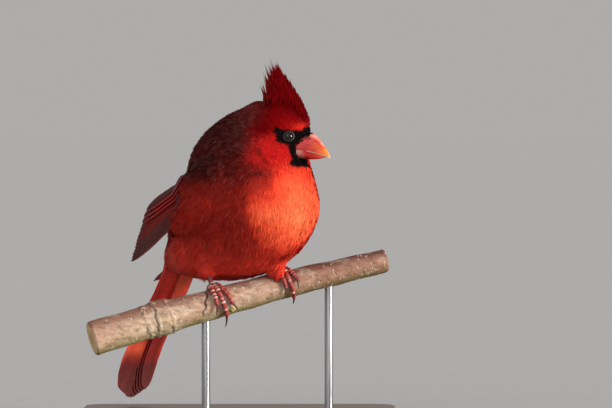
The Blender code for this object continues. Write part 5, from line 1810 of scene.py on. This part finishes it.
def bark_surface(share, angle):
    """Height, paleness, darkness and bud of the bark on a grid of shares and turns; the darkness is
    painted shade in the hollows of the relief and in the slit under the torn edge, with dark scar
    lines.
    """
    source = np.random.default_rng(SEEDS["bark"])
    length = math.dist(PERCH_LEFT, PERCH_RIGHT)
    places = perch_place(*np.meshgrid(share, angle, indexing="ij"))
    rough = np.array([[
        noise.fractal((x * 0.22, y * 0.6, z * 0.6), 0.8, 2.2, 5) for x, y, z in row]
        for row in places])
    patch = np.array([[
        noise.noise((x * 0.09 + 9, y * 0.2, z * 0.2)) for x, y, z in row] for row in places])
    height = 0.07 * rough
    pale = smooth(0.1, 0.5, patch) * 0.25
    # Painted shade: darker in the hollows of the relief
    dark = smooth(0.05, 0.7, -rough) * 0.4
    for place in SCAR_PLACES:
        wave = place + 0.009 * rough + 0.004 * np.sin(angle * 2 + place * 90)
        line = band(share, wave, 0.003) * smooth(-0.3, 0.5, patch + 0.5 * rough)
        swell = band(share - wave, 0.009, 0.006)
        height = height - 0.4 * line + 0.45 * swell
        dark = np.maximum(dark, 0.8 * line)
        pale = np.maximum(pale, 0.6 * swell * smooth(-0.1, 0.4, rough))
    near = band(angle, 1.15, 0.95, 4)
    lip = SLIT_PLACE - 0.022 * (angle - 0.6) + 0.0035 * np.sin(angle * 9)
    torn = smooth(lip - 0.1, lip - 0.01, share) * (1 - smooth(lip, lip + 0.004, share)) * near
    slit = band(share - lip, 0.006, 0.0035) * near
    height = height + 0.75 * torn - 0.9 * slit
    # Painted shadow in the slit under the torn edge of bark
    dark = np.maximum(dark, 0.95 * slit)

    def away_from(at, turn):
        """Distances from a place on the bark, round the branch and along it."""
        around = np.angle(np.exp(1j * (angle - turn))) * mix(*PERCH_RADIUS, at)
        return around, (share - at) * length

    for _ in range(LENTICELS):
        around, along = away_from(source.random(), source.uniform(0, 2 * np.pi))
        size = source.uniform(0.25, 0.62)
        mark = np.exp(-((around / (size * 1.5)) ** 2 + (along / (size * 0.62)) ** 2) ** 1.5)
        height = height + 0.22 * mark
        pale = np.maximum(pale, mark * source.uniform(0.6, 1.0))
    at, turn, tall, wide = BUD
    away = np.hypot(*away_from(at, turn))
    bud = band(away, 0, wide, 4)
    height = height + tall * bud - 0.35 * band(away, wide * 1.25, 0.4)
    rim = smooth(0.0, 0.006, share) * (1 - smooth(0.994, 1.0, share))
    return height * rim - 0.6 * (1 - rim), pale, dark, bud


def make_perch():
    """The cut branch, with lenticels, scars, a torn edge of bark and sawn ends, and painted shade
    in the hollows and under the torn edge.
    """
    share = np.linspace(0, 1, BARK_RINGS)[:, None]
    angle = (2 * np.pi * np.arange(BARK_SIDES) / BARK_SIDES)[None, :]
    height, pale, dark, bud = bark_surface(share, angle)
    points = perch_place(*np.meshgrid(share, angle, indexing="ij"), height)
    top = smooth(-0.1, 0.85, np.cos(angle))
    knot = band(share, KNOT_PLACE - 0.04, 0.1)
    colour = np.broadcast_to(lin(180, 138, 112), points.shape)
    for other, part in (
        (lin(144, 101, 84), top),
        (lin(132, 124, 62), 0.85 * smooth(0.05, 0.9, -np.cos(angle))),
        (lin(118, 80, 72), 0.7 * smooth(0.6, 0.95, share) * top),
        (lin(196, 168, 146), 0.4 * smooth(0.5, 1.0, np.sin(angle))),
    ):
        colour = lay(colour, other, part)
    colour = colour * mix(1.0, RIGHT_BARK, smooth(0.5, 0.85, share)[..., None])
    # Knot, paleness, the darkness (painted shade in hollows and under the torn edge, and dark scar
    # lines) and the bud
    for other, part in (
        (lin(196, 182, 148), 0.4 * knot * (1 - top)), (lin(222, 210, 186), pale),
        (lin(52, 36, 32), dark), (lin(206, 190, 120), bud),
    ):
        colour = lay(colour, other, part)

    def end_rings(row):
        """Rings of a sawn end, from its rim inwards."""
        centre = perch_middle(share[row, 0])
        return [centre + (points[row] - centre) * part for part in END_PARTS]

    points, faces = loft_arrays(np.concatenate([end_rings(0)[::-1], points, end_rings(-1)]))
    wood = lin(206, 172, 122)
    cut = [np.tile(wood * tone, (BARK_SIDES, 1)) for tone in END_TONES]
    middles = np.tile(wood * END_MIDDLE_TONE, (2, 1))
    material = grained(
        "bark", 0.78, 0.3, (420.0, 6.0, 0.62, (0.45, 1.0, 1.0)),
        ((0.28, (0.62, 0.58, 0.56)), (0.74, (1.2, 1.2, 1.2))), (0.7, 0.0008))
    made = plain_object("branch_bark", points, faces, material)
    made.data.set_sharp_from_angle(angle=math.radians(50.0))
    paint(made, np.vstack([*cut, colour.reshape(-1, 3), *cut[::-1], middles]))
    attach(made, "root")
    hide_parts("stand_perch")


def make_base():
    """The flat wooden base with round corners and a rounded upper edge."""
    wide, deep, high = BASE_SIZE
    corners = np.concatenate([
        np.pi / 2 * (quarter + np.arange(13) / 12) for quarter in range(4)])
    sx = np.repeat((1, -1, -1, 1), 13)
    sy = np.repeat((1, 1, -1, -1), 13)
    profile = [(0.0, 0.4), (0.4, 0.0), (high - BASE_BEVEL, 0.0)]
    profile += [
        (high - BASE_BEVEL + BASE_BEVEL * math.sin(turn), BASE_BEVEL * (1 - math.cos(turn)))
        for turn in np.radians((22, 45, 67, 90))]
    rings = [np.stack([
        sx * (wide / 2 - BASE_CORNER) + (BASE_CORNER - inset) * np.cos(corners),
        sy * (deep / 2 - BASE_CORNER) + (BASE_CORNER - inset) * np.sin(corners),
        np.full(len(corners), height)], -1) for height, inset in profile]
    material, nodes, links, surface = shader("walnut", 0.42, 0.45)
    figure = texture(nodes, links, 26.0, 5.0, 0.6, (0.16, 1.6, 1.0))
    fine = texture(nodes, links, 420.0, 4.0, 0.6, (0.06, 1.0, 1.0))
    colour = ramp(nodes, links, figure, (
        (0.3, lin(66, 42, 28)), (0.5, lin(98, 64, 42)), (0.7, lin(74, 47, 31))))
    toned(
        nodes, links, surface, colour,
        (fine, (0.3, (0.72, 0.7, 0.68)), (0.7, (1.12, 1.12, 1.12))))
    bump(nodes, links, surface, fine, 0.3, 0.0002)
    surface.inputs["Coat Weight"].default_value = 0.25
    surface.inputs["Coat Roughness"].default_value = 0.25
    base = plain_object("base_wood", *loft_arrays(rings), material)
    base.data.set_sharp_from_angle(angle=math.radians(40.0))
    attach(base, "root")
    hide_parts("stand_base")


def make_rods():
    """The two steel rods from the base into the branch, each with a collar at its foot."""
    material, nodes, links, surface = shader("steel", 0.3, 0.5)
    surface.inputs["Metallic"].default_value = 1.0
    brush = texture(nodes, links, 900.0, 3.0, 0.5, (1.0, 1.0, 0.03))
    links.new(ramp(nodes, links, brush, (
        (0.3, lin(150, 150, 152)), (0.7, lin(196, 196, 198)))), surface.inputs["Base Color"])
    roughness = ramp(nodes, links, brush, ((0.3, (0.24,) * 3), (0.7, (0.4,) * 3)))
    links.new(roughness, surface.inputs["Roughness"])
    bump(nodes, links, surface, brush, 0.15, 0.0001)
    foot = BASE_SIZE[2] + ROD_GAP
    collar, collar_top = ROD_COLLAR
    for index, share in enumerate(ROD_PLACES):
        middle = perch_middle(share)
        top = middle[2] - perch_radius(share, math.pi) + ROD_SUNK
        profile = (
            (collar - 0.3, 0.0), (collar, 0.3), (collar, collar_top - 0.5),
            (collar - 0.5, collar_top), (ROD_RADIUS + 0.4, collar_top),
            (ROD_RADIUS, collar_top + 0.4), (ROD_RADIUS, (top - foot) / 2),
            (ROD_RADIUS, top - foot))
        rings = [ellipse(
            np.array((middle[0], middle[1], foot + height)), np.array((radius, 0, 0)),
            np.array((0, radius, 0)), 48) for radius, height in profile]
        rod = plain_object("rod_steel_" + str(index + 1), *loft_arrays(rings), material)
        rod.data.set_sharp_from_angle(angle=math.radians(40.0))
        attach(rod, "root")
        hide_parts("stand_rod_" + str(index + 1))


def make_camera():
    """The camera at the photograph's angle."""
    data = bpy.data.cameras.new("camera")
    data.lens = LENS
    data.sensor_width = SENSOR
    data.clip_start = 0.1
    data.clip_end = 200.0
    made = bpy.data.objects.new("camera", data)
    bpy.context.scene.collection.objects.link(made)
    target = Vector(TARGET)
    back = Vector((0, -math.cos(CAMERA_RISE), math.sin(CAMERA_RISE)))
    made.location = target + back * CAMERA_AWAY
    made.rotation_mode = "QUATERNION"
    made.rotation_quaternion = (-back).to_track_quat("-Z", "Y")
    bpy.context.scene.camera = made


def make_light():
    """Soft light from the right and the front, over an even pale surrounding."""
    world = bpy.data.worlds.new("studio")
    bpy.context.scene.world = world
    world.use_nodes = True
    back = world.node_tree.nodes["Background"]
    back.inputs["Color"].default_value = (SKY, SKY * 0.985, SKY * 0.965, 1.0)
    back.inputs["Strength"].default_value = 1.0
    for name, (strength, angle, direction, colour) in SUNS.items():
        data = bpy.data.lights.new(name, "SUN")
        data.energy = strength
        data.angle = math.radians(angle)
        data.color = colour
        made = bpy.data.objects.new(name, data)
        bpy.context.scene.collection.objects.link(made)
        made.rotation_mode = "QUATERNION"
        made.rotation_quaternion = Vector(direction).to_track_quat("Z", "Y")


def make_floor():
    """A wide pale floor of the sky's own tone."""
    points = np.array(((-1, -1, 0), (1, -1, 0), (1, 1, 0), (-1, 1, 0))) * FLOOR_HALF
    material, nodes, links, surface = shader("floor", 0.9, 0.1)
    grain = texture(nodes, links, 60.0, 2.0)
    links.new(ramp(nodes, links, grain, (
        (0.3, (0.453, 0.451, 0.451)), (0.7, (0.472, 0.47, 0.47)))), surface.inputs["Base Color"])
    plain_object("floor", points, [(0, 1, 2, 3)], material)


def main():
    """Builds the pieces, the stage, the light and the camera."""
    bpy.context.scene.view_settings.view_transform = "Standard"
    skin = skin_form()
    paint(skin, marking(arrays_of(skin)[0])[0])
    skin.data.materials.append(grained(
        "down", 0.9, 0.1, (900.0, 4.0, 0.6), ((0.3, (0.35, 0.33, 0.33)), (0.7, (0.62, 0.6, 0.6))),
        (0.5, 0.0006)))
    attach(skin, "root")
    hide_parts("head", "neck", "torso", "leg_left", "leg_right")
    vanes = vane_material()
    # The wings lie on the outside of the solids of the body
    body = tree_of(frame["nodes"]["torso"], frame["nodes"]["neck"])
    make_wing("wing_right", (WING_LOWER, WING_UPPER, 1), body, vanes)
    make_wing("wing_left", (FAR_WING_LOWER, FAR_WING_UPPER, -1), body, vanes)
    wings = tree_of(*(
        bpy.data.objects["flight_feathers_" + side] for side in ("right", "left")))
    make_tail(vanes)
    coat = coat_material()
    make_coat(skin, tree_of(skin), wings, coat)
    make_crest(coat)
    make_bill()
    make_lores(skin, coat)
    make_eyes()
    scales = foot_material()
    for side in ("right", "left"):
        make_foot(side, scales)
    make_perch()
    make_base()
    make_rods()
    make_camera()
    make_light()
    make_floor()


main()
